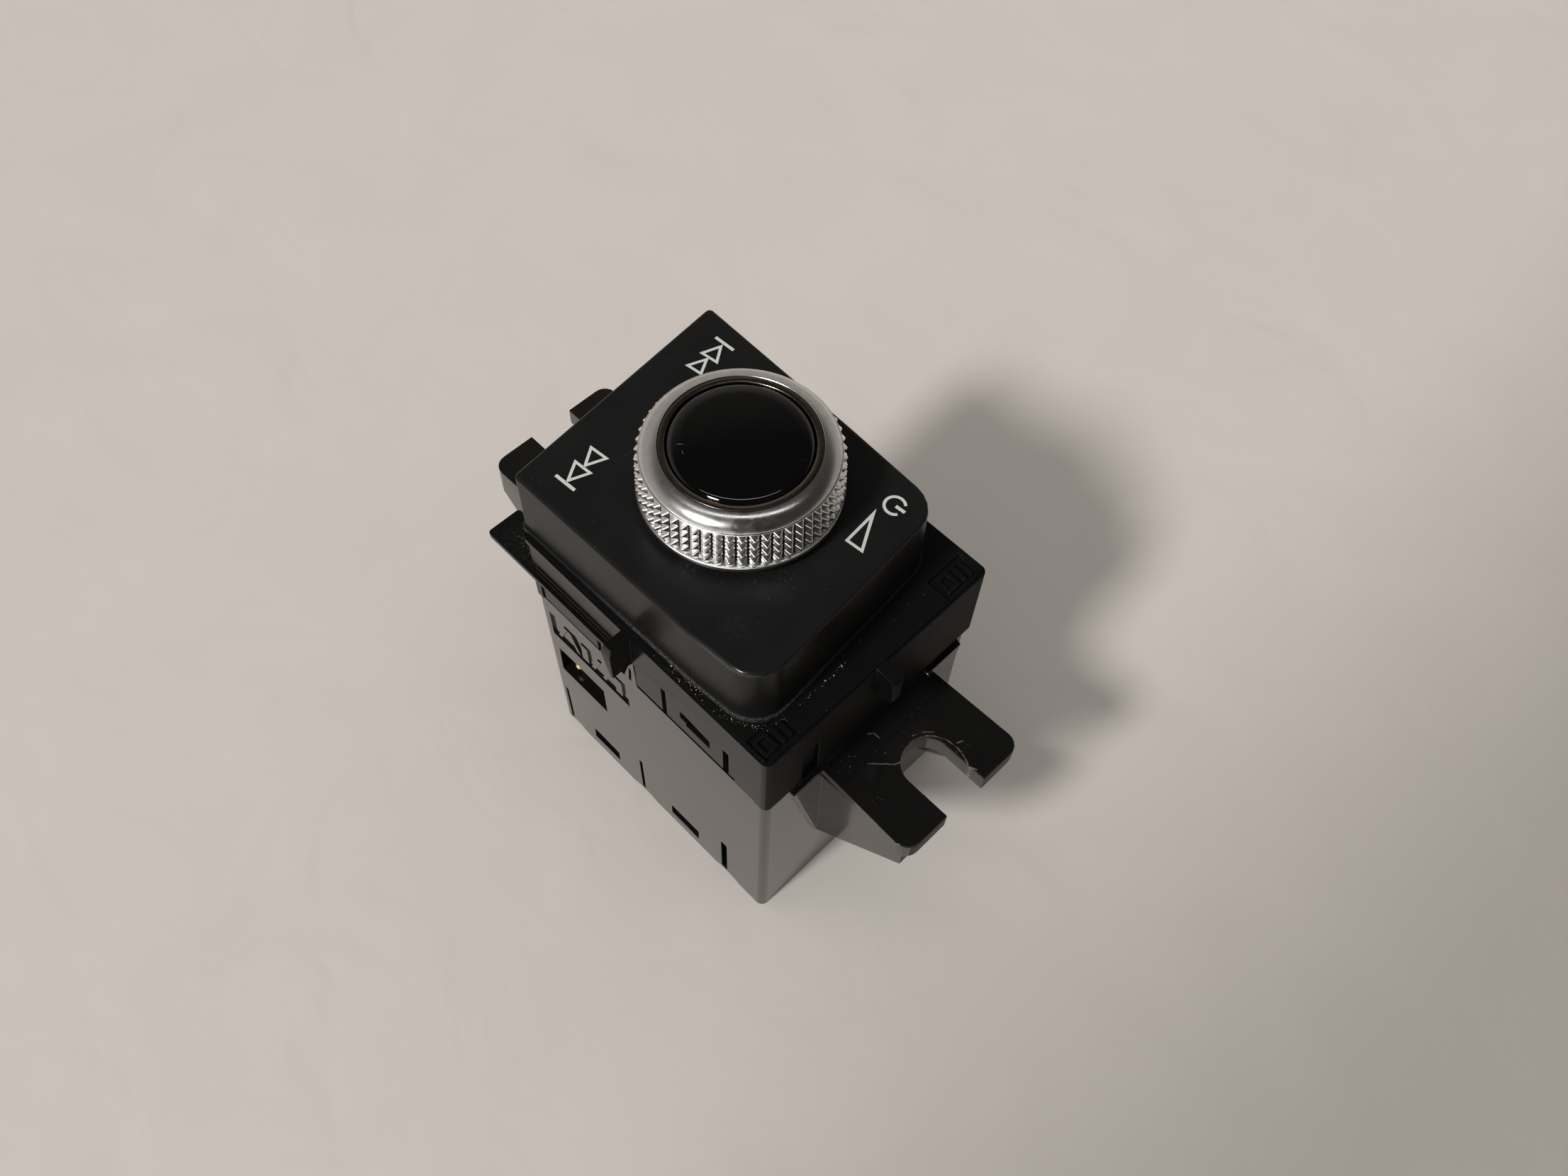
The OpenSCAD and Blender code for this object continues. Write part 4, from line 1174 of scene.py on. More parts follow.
GLOSS_BLACK = MouldedPlastic(
    "gloss_black_plastic", (0.006, 0.0058, 0.0056), 0.13, grain=1.5, relief=0.002, spread=0.05,
    coat=0.35, tint=(1.0, 0.94, 0.88), scuff_colour=(0.16, 0.15, 0.14),
    scuffs=(
        Scuff(((2.2, 26.0), (1.46, 26.55), (1.51, 27.6))),
        Scuff(((5.5, 29.26), (2.88, 31.93), (1.76, 32.4))),
        Scuff(((-1.2, 31.2), (-2.54, 31.4), (-4.04, 32.4), (-4.6, 33.1)), 0.16),
        Scuff(((-2.2, 30.7), (-3.7, 31.3), (-4.9, 32.4)), 0.08),
        Scuff(((-4.55, 33.1), (-5.32, 34.47), (-5.51, 36.35), (-5.25, 37.94), (-4.7, 39.24)), 0.12),
        Scuff(((-6.0, 35.9), (-6.85, 36.26)), 0.14), Scuff(((-4.46, 39.46), (-4.93, 40.66)), 0.14),
        Scuff(((3.3, 28.6), (3.4, 28.7)), 0.12), Scuff(((2.5, 29.8), (2.6, 29.8)), 0.09),
        Scuff(((6.6, 26.6), (6.7, 26.6))), Scuff(((7.6, 27.8), (7.7, 27.8)), 0.09),
        Scuff(((4.4, 32.1), (4.5, 32.2))),
    ),
    smudges=(Smudge((-2, 31.6, 40), 6, 0.03),),
)
SEMI_BLACK = MouldedPlastic(
    "semi_gloss_black_plastic", (0.006, 0.0058, 0.0056), 0.22, grain=0.4, relief=0.002,
    spread=0.08, dust=0.4, dust_size=1.0, ior=1.22, smudges=(Smudge((19, -29, 47), 7, 0.1),),
)
SATIN_BLACK = MouldedPlastic(
    "satin_black_paint", (0.0105, 0.0102, 0.01), 0.3, grain=0.16, relief=0.008, spread=0.05,
    dust=0.4, dust_size=0.9, ior=1.2, edge=0, coat_roughness=0.2,
    rim=(69.2, 69.97), rim_end=Smudge((18.6, 14.5, 69.7), 7.5, 0.6),
    foot=58.25, foot_haze=Smudge((20.4, 9, 58), 24, 0.75),
    smudges=(
        Smudge((15, 12, 70), 3.4, 0.08), Smudge((2, 9, 70), 10, 0.05), Smudge((13.5, 1.5, 70), 2.2, 0.22),
    ),
)
INNER_PLASTIC = MouldedPlastic("inner_grey_plastic", (0.07, 0.07, 0.075), 0.45, dust=0.0)
COMPONENT_BLACK = MouldedPlastic("component_black", (0.02, 0.02, 0.022), 0.5, grain=0.1, dust=0.0)
LAMP_WHITE = MouldedPlastic("lamp_white", (0.75, 0.72, 0.6), 0.4, dust=0.0)
SATIN_SILVER = SatinMetal("satin_silver", (0.64, 0.63, 0.61), 0.26)
TITANIUM = PlainMetal("titanium_brown", (0.18, 0.155, 0.125), 0.24, tarnished=0.04)
BRASS = PlainMetal("contact_brass", (0.9, 0.66, 0.34), 0.5)
STEEL = PlainMetal("zinc_steel", (0.62, 0.62, 0.63), 0.3, tarnished=0.08)
ENCODER_STEEL = PlainMetal("encoder_steel", (0.45, 0.45, 0.46), 0.4, tarnished=0.1)
CAP_BLACK = GlossCap(
    "gloss_black_lens", (0.0015, 0.0015, 0.0015), 0.03,
    scuffs=(Scuff(((6.2, -7.8), (5.7, -7.3)), 0.05), Scuff(((6.5, -6.6), (6.7, -6.2)), 0.04)),
)
WHITE_INK = Ink("white_ink", (0.62, 0.61, 0.58), 0.45)
BOARD_GREEN = CircuitBoard("green_board", (0.008, 0.075, 0.03), 0.35)
CLEAR = LightGuide("clear_plastic", (0.92, 0.94, 0.95), 0.08)
FOAM = Foam("seal_foam", (0.02, 0.02, 0.02), 0.9)
SAND = Grit("sandy_dust", (0.5, 0.44, 0.35), 0.8)
TABLE = TableTop("pale_table", (0.64, 0.585, 0.537), 0.6)


@dataclass
class Housing:
    """Lower housing with its base plate, socket and the moulded mark in its recessed strip."""

    edge: float = 0.16
    plate_edge: float = 0.12
    bracket_y: float = 26.5
    strip_z: Spot = (31.5, 38.3)
    strip_depth: float = 0.35
    bar_rise: float = 0.3
    bar_height: float = 4.4
    bar_pitch: float = 2.6
    first_bar: float = -19.8
    bars: tuple[Spot, ...] = ((0.8, 0.9), (0.8, -0.9), (1.5, 0.0), (0.8, 0.9), (0.8, 0.9), (1.5, 0.0))

    def build(self) -> None:
        """Makes and dresses the housing's pieces."""
        casing = Bench.bevel(Bench.copy_node("lower_housing", "housing_shell"), self.edge)
        Bench.mark(
            casing, "matt", lambda face: face.normal.y > FACING and face.center.y > self.bracket_y * MM
        )
        present(casing, GLOSS_BLACK, Body.HOUSING, Slot.HOUSING, ["lower_housing"])
        plate = Bench.bevel(Bench.copy_node("base_plate", "bottom_plate"), self.plate_edge)
        present(plate, SEMI_BLACK, Body.HOUSING, Slot.HOUSING, ["base_plate"])
        shroud = Bench.bevel(Bench.copy_node("connector_shroud", "socket_shell"), self.plate_edge)
        present(shroud, COMPONENT_BLACK, Body.HOUSING, Slot.INNER, ["connector_shroud"])
        present(self.strip_mark(), GLOSS_BLACK, Body.HOUSING, Slot.HOUSING)

    def strip_mark(self) -> bpy.types.Object:
        """Plain raised bars in the recessed strip, straight and slanted, which spell nothing.

        Returns:
            The bars as one piece.
        """
        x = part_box("lower_housing")[1].x / MM - self.strip_depth
        middle = sum(self.strip_z) / 2
        made = []
        for index, (wide, lean) in enumerate(self.bars):
            y = self.first_bar + index * self.bar_pitch
            corners = [
                (x, y + side * wide / 2 + level * lean, middle + level * self.bar_height / 2)
                for side, level in CORNERS
            ]
            made.append(Bench.flat(corners, (1, 0, 0), self.bar_rise))
        return Bench.join("strip_mark", made)


@dataclass
class UpperFrame:
    """Upper frame with the generic marks in its corner pockets."""

    edge: float = 0.1
    pocket_z: float = 57.0
    mark_rise: float = 0.5
    mark_edge: float = 0.1
    marks: tuple[Spot, ...] = ((18.2, 22.3), (-17.2, 22.3))
    ring_x: float = 1.3
    ring_line: float = 0.6
    ring_half: Spot = (1.25, 1.45)
    bars_x: Spot = (-2.2, -0.9)
    bar_half: Spot = (0.35, 1.45)

    def build(self) -> None:
        """Makes and dresses the frame's pieces."""
        shell = Bench.bevel(Bench.copy_node("upper_frame", "frame_shell"), self.edge)
        Bench.mark(shell, "matt", lambda face: face.normal.y > FACING)
        present(shell, SEMI_BLACK, Body.HOUSING, Slot.FRAME, ["upper_frame"])
        made = []
        for x, y in self.marks:
            made.append(self.raised((x + self.ring_x, y), self.ring_half, self.ring_line))
            made += [self.raised((x + offset, y), self.bar_half) for offset in self.bars_x]
        marks = Bench.bevel(Bench.join("pocket_marks", made), self.mark_edge)
        present(marks, SEMI_BLACK, Body.HOUSING, Slot.FRAME)

    def raised(self, centre: Spot, half: Spot, line: float = 0) -> bpy.types.Object:
        """A raised rectangle in a pocket, filled or as an outline.

        Args:
            centre: its middle.
            half: half its width and depth.
            line: width of the outline, or 0 to fill it.

        Returns:
            The rectangle.
        """
        (x, y), (wide, deep) = centre, half
        corners = [(x + side * wide, y + end * deep, self.pocket_z) for side, end in CORNERS]
        return Bench.flat(corners, UP, self.mark_rise, line)


@dataclass
class Cover:
    """Slanted top cover with the lip round its foot and its four printed signs."""

    edge: float = 0.05
    edge_angle: float = 50
    lip: float = 0.35
    lip_height: float = 0.8
    lip_round: float = 0.26
    near: float = 0.1
    ink: float = 0.02
    line: float = 0.5
    triangle_line: float = 0.41
    shape_line: float = 0.425
    skips: tuple[tuple[str, tuple[Spot, Spot], tuple[tuple[Spot, ...], ...]], ...] = (
        (
            "sign_skip_right",
            ((16.38, -21.32), (16.14, -17.7)),
            (
                ((16.23, -19.48), (12.87, -21.56), (12.6, -18.1)),
                ((12.95, -19.78), (9.81, -21.9), (9.44, -18.43)),
            ),
        ),
        (
            "sign_skip_left",
            ((-15.55, -24.18), (-15.76, -20.67)),
            (
                ((-15.38, -22.47), (-11.91, -23.68), (-12.37, -20.36)),
                ((-12.34, -22.11), (-8.92, -23.43), (-9.33, -20.4)),
            ),
        ),
    )
    power_centre: Spot = (-12.92, 13.35)
    power_r: float = 1.65
    power_towards: Spot = (-0.08, 1.0)
    power_gap: float = 38
    power_steps: int = 28
    power_bar: Spot = (0.15, 1.7)
    wedge: tuple[Spot, ...] = ((-10.81, 12.0), (-4.14, 12.57), (-4.43, 15.6))

    def build(self) -> None:
        """Makes and dresses the cover and its signs."""
        shell = Bench.bevel(Bench.copy_node("top_cover", "cover_shell"), self.edge, self.edge_angle)
        shell = Bench.join("cover_shell", [shell, self.foot_lip()])
        present(shell, SATIN_BLACK, Body.HOUSING, Slot.COVER, ["top_cover"])
        for name, bar, triangles in self.skips:
            open_ones = [self.printed(corners, self.triangle_line) for corners in triangles]
            self.sign(name, [self.stroke(*bar), *open_ones])
        self.power_sign()
        self.sign("sign_volume", [self.printed(self.wedge, self.shape_line)])

    def foot_lip(self) -> bpy.types.Object:
        """Rounded lip round the foot of the cover's wall, drawn out of a copy of the wall.

        Returns:
            The lip as a closed ring.
        """
        low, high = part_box("top_cover")
        middle, near = (low + high) / 2, self.near * MM
        top = low.z + self.lip_height * MM
        lip = Bench.copy_node("top_cover", "lip")

        def outer(face: bmesh.types.BMFace) -> bool:
            """Whether an upright face looks away from the cover's middle."""
            away = (face.calc_center_median() - middle).xy
            return abs(face.normal.z) < UPRIGHT and face.normal.xy.dot(away) > 0

        def brow(edge: bmesh.types.BMEdge) -> bool:
            """Whether an edge is the lip's outer top edge."""
            high_up = min(vertex.co.z for vertex in edge.verts) > top - near
            return high_up and edge.calc_face_angle() > 1 and any(outer(face) for face in edge.link_faces)

        with Bench.editing(lip, chosen="SELECT"):
            bpy.ops.mesh.bisect(plane_co=(0, 0, top), plane_no=UP, clear_outer=True)
            Bench.pick(lip, "faces", lambda face: abs(face.normal.z) > UPRIGHT)
            bpy.ops.mesh.delete(type="FACE")
            Bench.pick(lip, "faces", lambda face: face.calc_center_median().x > high.x - 3 * near)
            bpy.ops.mesh.select_linked()
            bpy.ops.mesh.select_all(action="INVERT")
            bpy.ops.mesh.delete(type="FACE")
            bpy.ops.mesh.select_all(action="SELECT")
            bpy.ops.mesh.extrude_region_shrink_fatten(TRANSFORM_OT_shrink_fatten={"value": self.lip * MM})
        with Bench.editing(lip, "EDGE"):
            Bench.pick(lip, "edges", lambda edge: edge.is_boundary)
            bpy.ops.mesh.bridge_edge_loops()
            Bench.face_outwards()
            Bench.pick(lip, "edges", brow)
            bpy.ops.mesh.bevel(offset=self.lip_round * MM, segments=3)
        return Bench.even(lip)

    def printed(self, corners: Sequence[Spot], line: float = 0) -> bpy.types.Object:
        """One printed shape on the cover's top, filled or as an outline."""
        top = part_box("top_cover")[1].z / MM - self.ink / 2
        return Bench.flat([(x, y, top) for x, y in corners], UP, self.ink, line)

    def stroke(self, start: Spot, end: Spot) -> bpy.types.Object:
        """One printed line between two points.

        Args:
            start: its first end.
            end: its other end.

        Returns:
            The printed line.
        """
        a, b = Vector(start), Vector(end)
        side = (b - a).normalized().orthogonal() * self.line / 2
        return self.printed([tuple(a - side), tuple(a + side), tuple(b + side), tuple(b - side)])

    def sign(self, name: str, parts: Sequence[bpy.types.Object]) -> None:
        """Joins the printed parts of one sign and dresses them."""
        present(Bench.join(name, parts), WHITE_INK, Body.HOUSING, Slot.COVER)

    def power_sign(self) -> None:
        """Prints the power sign: an open ring with a bar in its gap."""
        centre, towards = Vector(self.power_centre), Vector(self.power_towards).normalized()
        gap = math.radians(self.power_gap)
        start, sweep = math.atan2(towards.y, towards.x) + gap, 2 * (math.pi - gap)
        turns = [start + sweep * step / self.power_steps for step in range(self.power_steps + 1)]
        sides = ((self.power_r, turns), (self.power_r - self.shape_line, turns[::-1]))
        outline = [
            (centre.x + r * math.cos(a), centre.y + r * math.sin(a)) for r, side in sides for a in side
        ]
        bar = self.stroke(*(tuple(centre + towards * reach) for reach in self.power_bar))
        self.sign("sign_power", [self.printed(outline), bar])


@dataclass
class Knob:
    """Turned sleeve with its knurled band and bezel, the trim ring and the glossy cap.

    The tables of edge points hold how far in and how far down each point lies from its corner.
    """

    steps: int = 216
    flange_r: float = 14.0
    flange_t: float = 1.03
    flange_foot: Spot = (0.25, 0.2)
    flange_top: tuple[Spot, ...] = ((0, 0.3), (0.03, 0.2), (0.12, 0.06), (0.3, 0))
    sleeve_in: float = 11.05
    knurl_h: float = 6.23
    knurl_r: float = 14.05
    knurl_taper: float = 0.27
    knurl_depth: float = 0.68
    rows: int = 4
    columns: int = 54
    turn: float = 46.94
    groove: float = 0.24
    tip: float = 0.2
    ridge: float = 0.13
    sunk: float = 0.02
    facet_share: float = 0.3
    bezel_r: float = 13.25
    bezel_foot: tuple[Spot, ...] = ((0.12, -0.02), (0.03, -0.05))
    bezel_land: float = 0.12
    brow_angles: Spot = (8, 68)
    brow_break: float = 0.2
    brow_steps: int = 16
    seat_gap: float = 0.1
    seat_edge: tuple[Spot, ...] = ((-0.01, 0.05), (0, 0.12), (0, 1.55))
    seat_land: float = 0.06
    ring_r: float = 10.6
    ring_break: Spot = (0.08, 0.1)
    ring_top: float = 0.14
    ring_edge: tuple[Spot, ...] = ((-0.12, 0.04), (-0.03, 0.09), (0, 0.16))
    cap_r: float = 9.67
    cap_gap: float = 0.05
    cap_edge: float = 1.0
    cap_proud: float = 0.18
    cap_dome: float = 0.12
    dome_steps: int = 8
    worn: Point = (7.5, 6.6, 0.5)
    worn_radius: float = 7.5

    def __post_init__(self) -> None:
        """Reads the sleeve's place from its CAD solid."""
        low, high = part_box("knob_sleeve")
        self.centre = (0.0, (low.y + high.y) / 2 / MM)
        self.foot, self.rim = low.z / MM, high.z / MM
        self.knurl_z = self.foot + self.flange_t
        self.bezel_z = self.knurl_z + self.knurl_h
        self.root = self.knurl_r - self.knurl_depth

    def build(self) -> None:
        """Makes and dresses the knob's pieces."""
        x, y, down = self.worn
        silver = replace(
            SATIN_SILVER, band=(self.knurl_z, self.bezel_z), axis_y=self.centre[1], root=self.root,
            taper=self.knurl_taper / self.knurl_h,
            worn=Smudge((x, y, self.rim - down), self.worn_radius, 1.0),
        )
        sleeve = Bench.even(Bench.join("sleeve", [self.sleeve(), self.knurl()]), 32)
        present(sleeve, silver, Body.KNOB, Slot.SLEEVE, ["knob_sleeve"])
        present(Bench.smooth(self.ring(), 50), TITANIUM, Body.KNOB, Slot.RING, ["trim_ring"])
        present(Bench.smooth(self.cap(), 60), CAP_BLACK, Body.KNOB, Slot.CAP, ["knob_cap"])

    def arc(self, r: float, z: float, width: float, height: float, steps: int) -> list[Spot]:
        """Quarter ellipse from an outer edge at r and z, up by a height and in by a width."""
        turns = [math.pi / 2 * step / steps for step in range(steps + 1)]
        return [(r - width * (1 - math.cos(a)), z + height * math.sin(a)) for a in turns]

    def edge(self, r: float, z: float, table: Sequence[Spot]) -> list[Spot]:
        """Points of a shaped edge, from a table of how far in and down they lie from its corner."""
        return [(r - inward, z - down) for inward, down in table]

    def brow(self, inner: float) -> list[Spot]:
        """Bezel's slope, steep at its foot and almost level at the ring.

        Args:
            inner: radius at which it ends.

        Returns:
            Its points, outer edge first.
        """
        low, high = (math.radians(angle) for angle in self.brow_angles)
        turns = [high + (low - high) * step / self.brow_steps for step in range(self.brow_steps + 1)]
        wide, tall = math.sin(high) - math.sin(low), math.cos(low) - math.cos(high)
        foot_z = self.bezel_z + self.bezel_land
        start_r, start_z = self.bezel_r - self.brow_break, foot_z + self.brow_break
        width, height = (start_r - inner) / wide, (self.rim - start_z) / tall
        slope = [
            (start_r - width * (math.sin(high) - math.sin(a)),
             start_z + height * (math.cos(a) - math.cos(high)))
            for a in turns
        ]
        return [*self.arc(self.bezel_r, foot_z, self.brow_break, self.brow_break, 3)[:-1], *slope]

    def sleeve(self) -> bpy.types.Object:
        """Flange, core of the knurl and bezel as one turned shell.

        Returns:
            The shell.
        """
        seat = self.ring_r + self.seat_gap
        foot_in, foot_up = self.flange_foot
        profile = [
            (self.sleeve_in, self.foot),
            (self.flange_r - foot_in, self.foot),
            (self.flange_r, self.foot + foot_up),
            *self.edge(self.flange_r, self.knurl_z, self.flange_top),
            (self.root, self.knurl_z),
            (self.root - self.knurl_taper, self.bezel_z),
            *self.edge(self.bezel_r, self.bezel_z, self.bezel_foot),
            *self.brow(seat + self.seat_land),
            *self.edge(seat, self.rim, self.seat_edge),
            (self.sleeve_in, self.rim - self.seat_edge[-1][1]),
        ]
        return Bench.turned("sleeve", profile, self.centre, self.steps, closed=True)

    def knurl(self) -> bpy.types.Object:
        """Rows of blunt pyramids round the sleeve.

        Returns:
            The pyramids as one object.
        """
        across = math.sqrt(0.5) * MM
        point = Bench.settle(Bench.primitive(
            "knurl", bpy.ops.mesh.primitive_cone_add, vertices=4, radius1=across, radius2=self.tip * across,
            depth=self.knurl_depth * MM, end_fill_type="NGON", rotation=(0, 0, math.radians(45)),
        ))
        with Bench.editing(point, "EDGE"):
            Bench.pick(point, "edges", lambda edge: max(vert.co.z for vert in edge.verts) > 0)
            bpy.ops.mesh.bevel(offset=self.ridge * MM, segments=3, profile=0.5)
        facet = max(face.area for face in point.data.polygons) * self.facet_share
        Bench.mark(point, "polish", lambda face: face.area < facet and face.normal.z > 0)
        pitch, lean = self.knurl_h / self.rows, math.atan2(self.knurl_taper, self.knurl_h)
        places = []
        for row in range(self.rows):
            reach = self.root - self.knurl_taper * (row + 0.5) / self.rows
            width = 2 * math.pi * reach / self.columns - self.groove
            seat = Matrix.Translation(Vector((*self.centre, self.knurl_z + pitch * (row + 0.5))) * MM)
            out = Matrix.Translation(Vector((reach + self.knurl_depth / 2 - self.sunk, 0, 0)) * MM)
            shape = Matrix.Rotation(math.pi / 2 - lean, 4, "Y") @ Matrix.Diagonal((pitch, width, 1.0, 1.0))
            for column in range(self.columns):
                angle = math.radians(self.turn + 360 * column / self.columns)
                places.append(seat @ Matrix.Rotation(angle, 4, "Z") @ out @ shape)
        return Bench.copies(point, places)

    def ring(self) -> bpy.types.Object:
        """Trim ring between the bezel and the cap.

        Returns:
            The ring.
        """
        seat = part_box("trim_ring")[0].z / MM
        inner = self.cap_r + self.cap_gap
        profile = [
            (self.ring_r, seat),
            *self.arc(self.ring_r, self.rim - self.ring_top, *self.ring_break, 4),
            *self.edge(inner, self.rim, self.ring_edge),
            (inner, seat),
        ]
        return Bench.turned("ring", profile, self.centre, self.steps, closed=True)

    def cap(self) -> bpy.types.Object:
        """Glossy cap with a rounded edge and a very slight dome.

        Returns:
            The cap.
        """
        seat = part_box("knob_cap")[0].z / MM
        edge, top = self.cap_edge, self.rim + self.cap_proud
        radius = (self.cap_r**2 + self.cap_dome**2) / (2 * self.cap_dome)
        rings = [(self.cap_r - edge) * (1 - step / self.dome_steps) for step in range(self.dome_steps)]
        dome = [(r, top + self.cap_dome - radius + math.sqrt(radius**2 - r**2)) for r in rings]
        profile = [(self.cap_r, seat), *self.arc(self.cap_r, top - edge, edge, edge, 10)[:-1], *dome]
        return Bench.turned("cap", profile, self.centre, self.steps, closed=False)


@dataclass
class Inside:
    """Inner pieces that keep their CAD form and get their own finish."""

    finishes: tuple[tuple[Finish, tuple[str, ...]], ...] = (
        (BOARD_GREEN, ("main_board", "switch_board")),
        (COMPONENT_BLACK, ("control_chip", "board_header", "skip_switch_left", "skip_switch_right")),
        (ENCODER_STEEL, ("filter_capacitor", "encoder_body")),
        (BRASS, ("connector_pins", "brass_contact", "header_pins")),
        (
            STEEL,
            ("board_screws", "cover_screws", "tilt_pins", "encoder_nut", "press_dome", "return_spring",
             "encoder_shaft"),
        ),
        (LAMP_WHITE, ("backlight_leds",)),
        (CLEAR, ("light_guide_left", "light_guide_right", "light_guide_power")),
        (FOAM, ("hub_seal",)),
        (
            INNER_PLASTIC,
            ("pivot_stand_front", "pivot_stand_rear", "rocker_cradle", "sliding_collar", "knob_hub"),
        ),
    )

    def build(self) -> None:
        """Gives each inner node its material."""
        for finish, nodes in self.finishes:
            for node in nodes:
                materials = frame["nodes"][node].data.materials
                materials.clear()
                materials.append(finish.material())
                LOG.info("%s: %s", node, finish.name)


@dataclass(frozen=True)
class Drift:
    """Line of dust grains on a level face."""

    start: Spot
    end: Spot
    level: float
    count: int
    spread: float
    largest: float


@dataclass
class Dust:
    """Sandy grains that lie along the cover's foot, on the side flange and on the level faces."""

    seed: int = 7
    bumpiness: float = 0.25
    least: float = 0.25
    sunk: float = 0.4
    narrowest: float = 0.6
    flat: float = 0.6
    full_turn: float = 6.28
    drifts: tuple[Drift, ...] = (
        Drift((21.15, -2.0), (21.1, 11.0), 57.5, 14, 0.05, 0.07),
        Drift((20.82, 5.5), (20.5, 16.4), 58.2, 20, 0.06, 0.12),
        Drift((21.2, 7.0), (20.9, 16.0), 57.5, 18, 0.12, 0.1),
        Drift((20.9, 8.6), (20.8, 10.4), 58.1, 3, 0.08, 0.24),
        Drift((20.8, 15.6), (18.4, 20.4), 57.5, 30, 0.25, 0.1),
        Drift((19.0, 20.2), (15.0, 21.4), 57.5, 14, 0.25, 0.09),
        Drift((12.6, 21.4), (3.0, 21.1), 57.5, 26, 0.2, 0.1),
        Drift((11.0, 21.3), (3.4, 21.2), 57.5, 8, 0.15, 0.18),
        Drift((3.0, 20.5), (-12.0, 19.4), 57.5, 14, 0.4, 0.05),
        Drift((19.0, -27.0), (18.6, -31.5), 47.0, 34, 0.6, 0.07),
        Drift((20.8, -25.5), (18.8, -28.5), 47.0, 6, 0.5, 0.1),
        Drift((13.0, 3.0), (4.0, 13.5), 70.0, 34, 1.3, 0.04),
        Drift((9.6, 8.4), (8.6, 9.2), 70.0, 4, 0.2, 0.08),
        Drift((18.0, -12.0), (16.0, -4.0), 70.0, 8, 1.2, 0.04),
        Drift((9.4, 27.4), (-9.0, 28.2), 40.1, 26, 0.8, 0.05),
        Drift((9.0, 30.0), (8.6, 38.0), 40.1, 8, 0.7, 0.04),
    )

    def build(self) -> None:
        """Scatters the grains and dresses them."""
        grain = Bench.primitive(
            "dust_grains", bpy.ops.mesh.primitive_ico_sphere_add, subdivisions=1, radius=MM
        )
        with Bench.editing(grain, "VERT", "SELECT"):
            bpy.ops.transform.vertex_random(offset=self.bumpiness * MM, seed=self.seed)
        draw = random.Random(self.seed)
        places = [self.grain(drift, draw) for drift in self.drifts for _ in range(drift.count)]
        present(Bench.copies(grain, places), SAND, Body.HOUSING, Slot.FOAM)

    def grain(self, drift: Drift, draw: random.Random) -> Matrix:
        """Size, turn and place of the next grain.

        Args:
            drift: the drift that it lies in.
            draw: the source of its chances.

        Returns:
            What takes the model grain there.
        """
        x, y = Vector(drift.start).lerp(Vector(drift.end), draw.random())
        size = drift.largest * (self.least + (1 - self.least) * draw.random() ** 2)
        x += draw.gauss(0, drift.spread)
        y += draw.gauss(0, drift.spread)
        place = Matrix.Translation(Vector((x, y, drift.level + size * self.sunk)) * MM)
        turn = draw.random() * self.full_turn
        lean = Matrix.Rotation(turn, 4, Vector((draw.random(), draw.random(), 1)))
        narrow = self.narrowest + (1 - self.narrowest) * draw.random()
        return place @ lean @ Matrix.Diagonal((size, size * narrow, size * self.flat, 1.0))


@dataclass(frozen=True)
class Lamp:
    """Soft distant lamp."""

    name: str
    towards: Point
    strength: float
    spread: float
    glossy: bool = True
    diffuse: bool = True

    def build(self) -> None:
        """Adds the lamp."""
        light = bpy.data.lights.new(self.name, "SUN")
        light.energy = self.strength
        light.angle = math.radians(self.spread)
        obj = bpy.data.objects.new(self.name, light)
        obj.rotation_mode = "QUATERNION"
        obj.rotation_quaternion = Vector(self.towards).to_track_quat("Z", "Y")
        obj.visible_glossy = self.glossy
        obj.visible_diffuse = self.diffuse
        bpy.context.scene.collection.objects.link(obj)


@dataclass(frozen=True)
class Panel:
    """Evenly bright panel that faces the object, its long side level."""

    name: str
    towards: Point
    distance: float
    size: Spot
    radiance: float
    diffuse: bool = True

    def build(self) -> None:
        """Adds the panel; its power follows from its size and radiance."""
        light = bpy.data.lights.new(self.name, "AREA")
        light.shape = "RECTANGLE"
        light.size, light.size_y = self.size
        light.energy = self.radiance * math.pi * self.size[0] * self.size[1]
        obj = bpy.data.objects.new(self.name, light)
        facing = Vector(self.towards).normalized()
        overhead = facing.xy.length < 0.1
        side = Vector((-1, 1, 0) if overhead else (-facing.y, facing.x, 0)).normalized()
        turn = Matrix((side, facing.cross(side), facing)).transposed().to_4x4()
        obj.matrix_world = Matrix.Translation(facing * self.distance) @ turn
        obj.visible_camera = False
        obj.visible_diffuse = self.diffuse
        bpy.context.scene.collection.objects.link(obj)


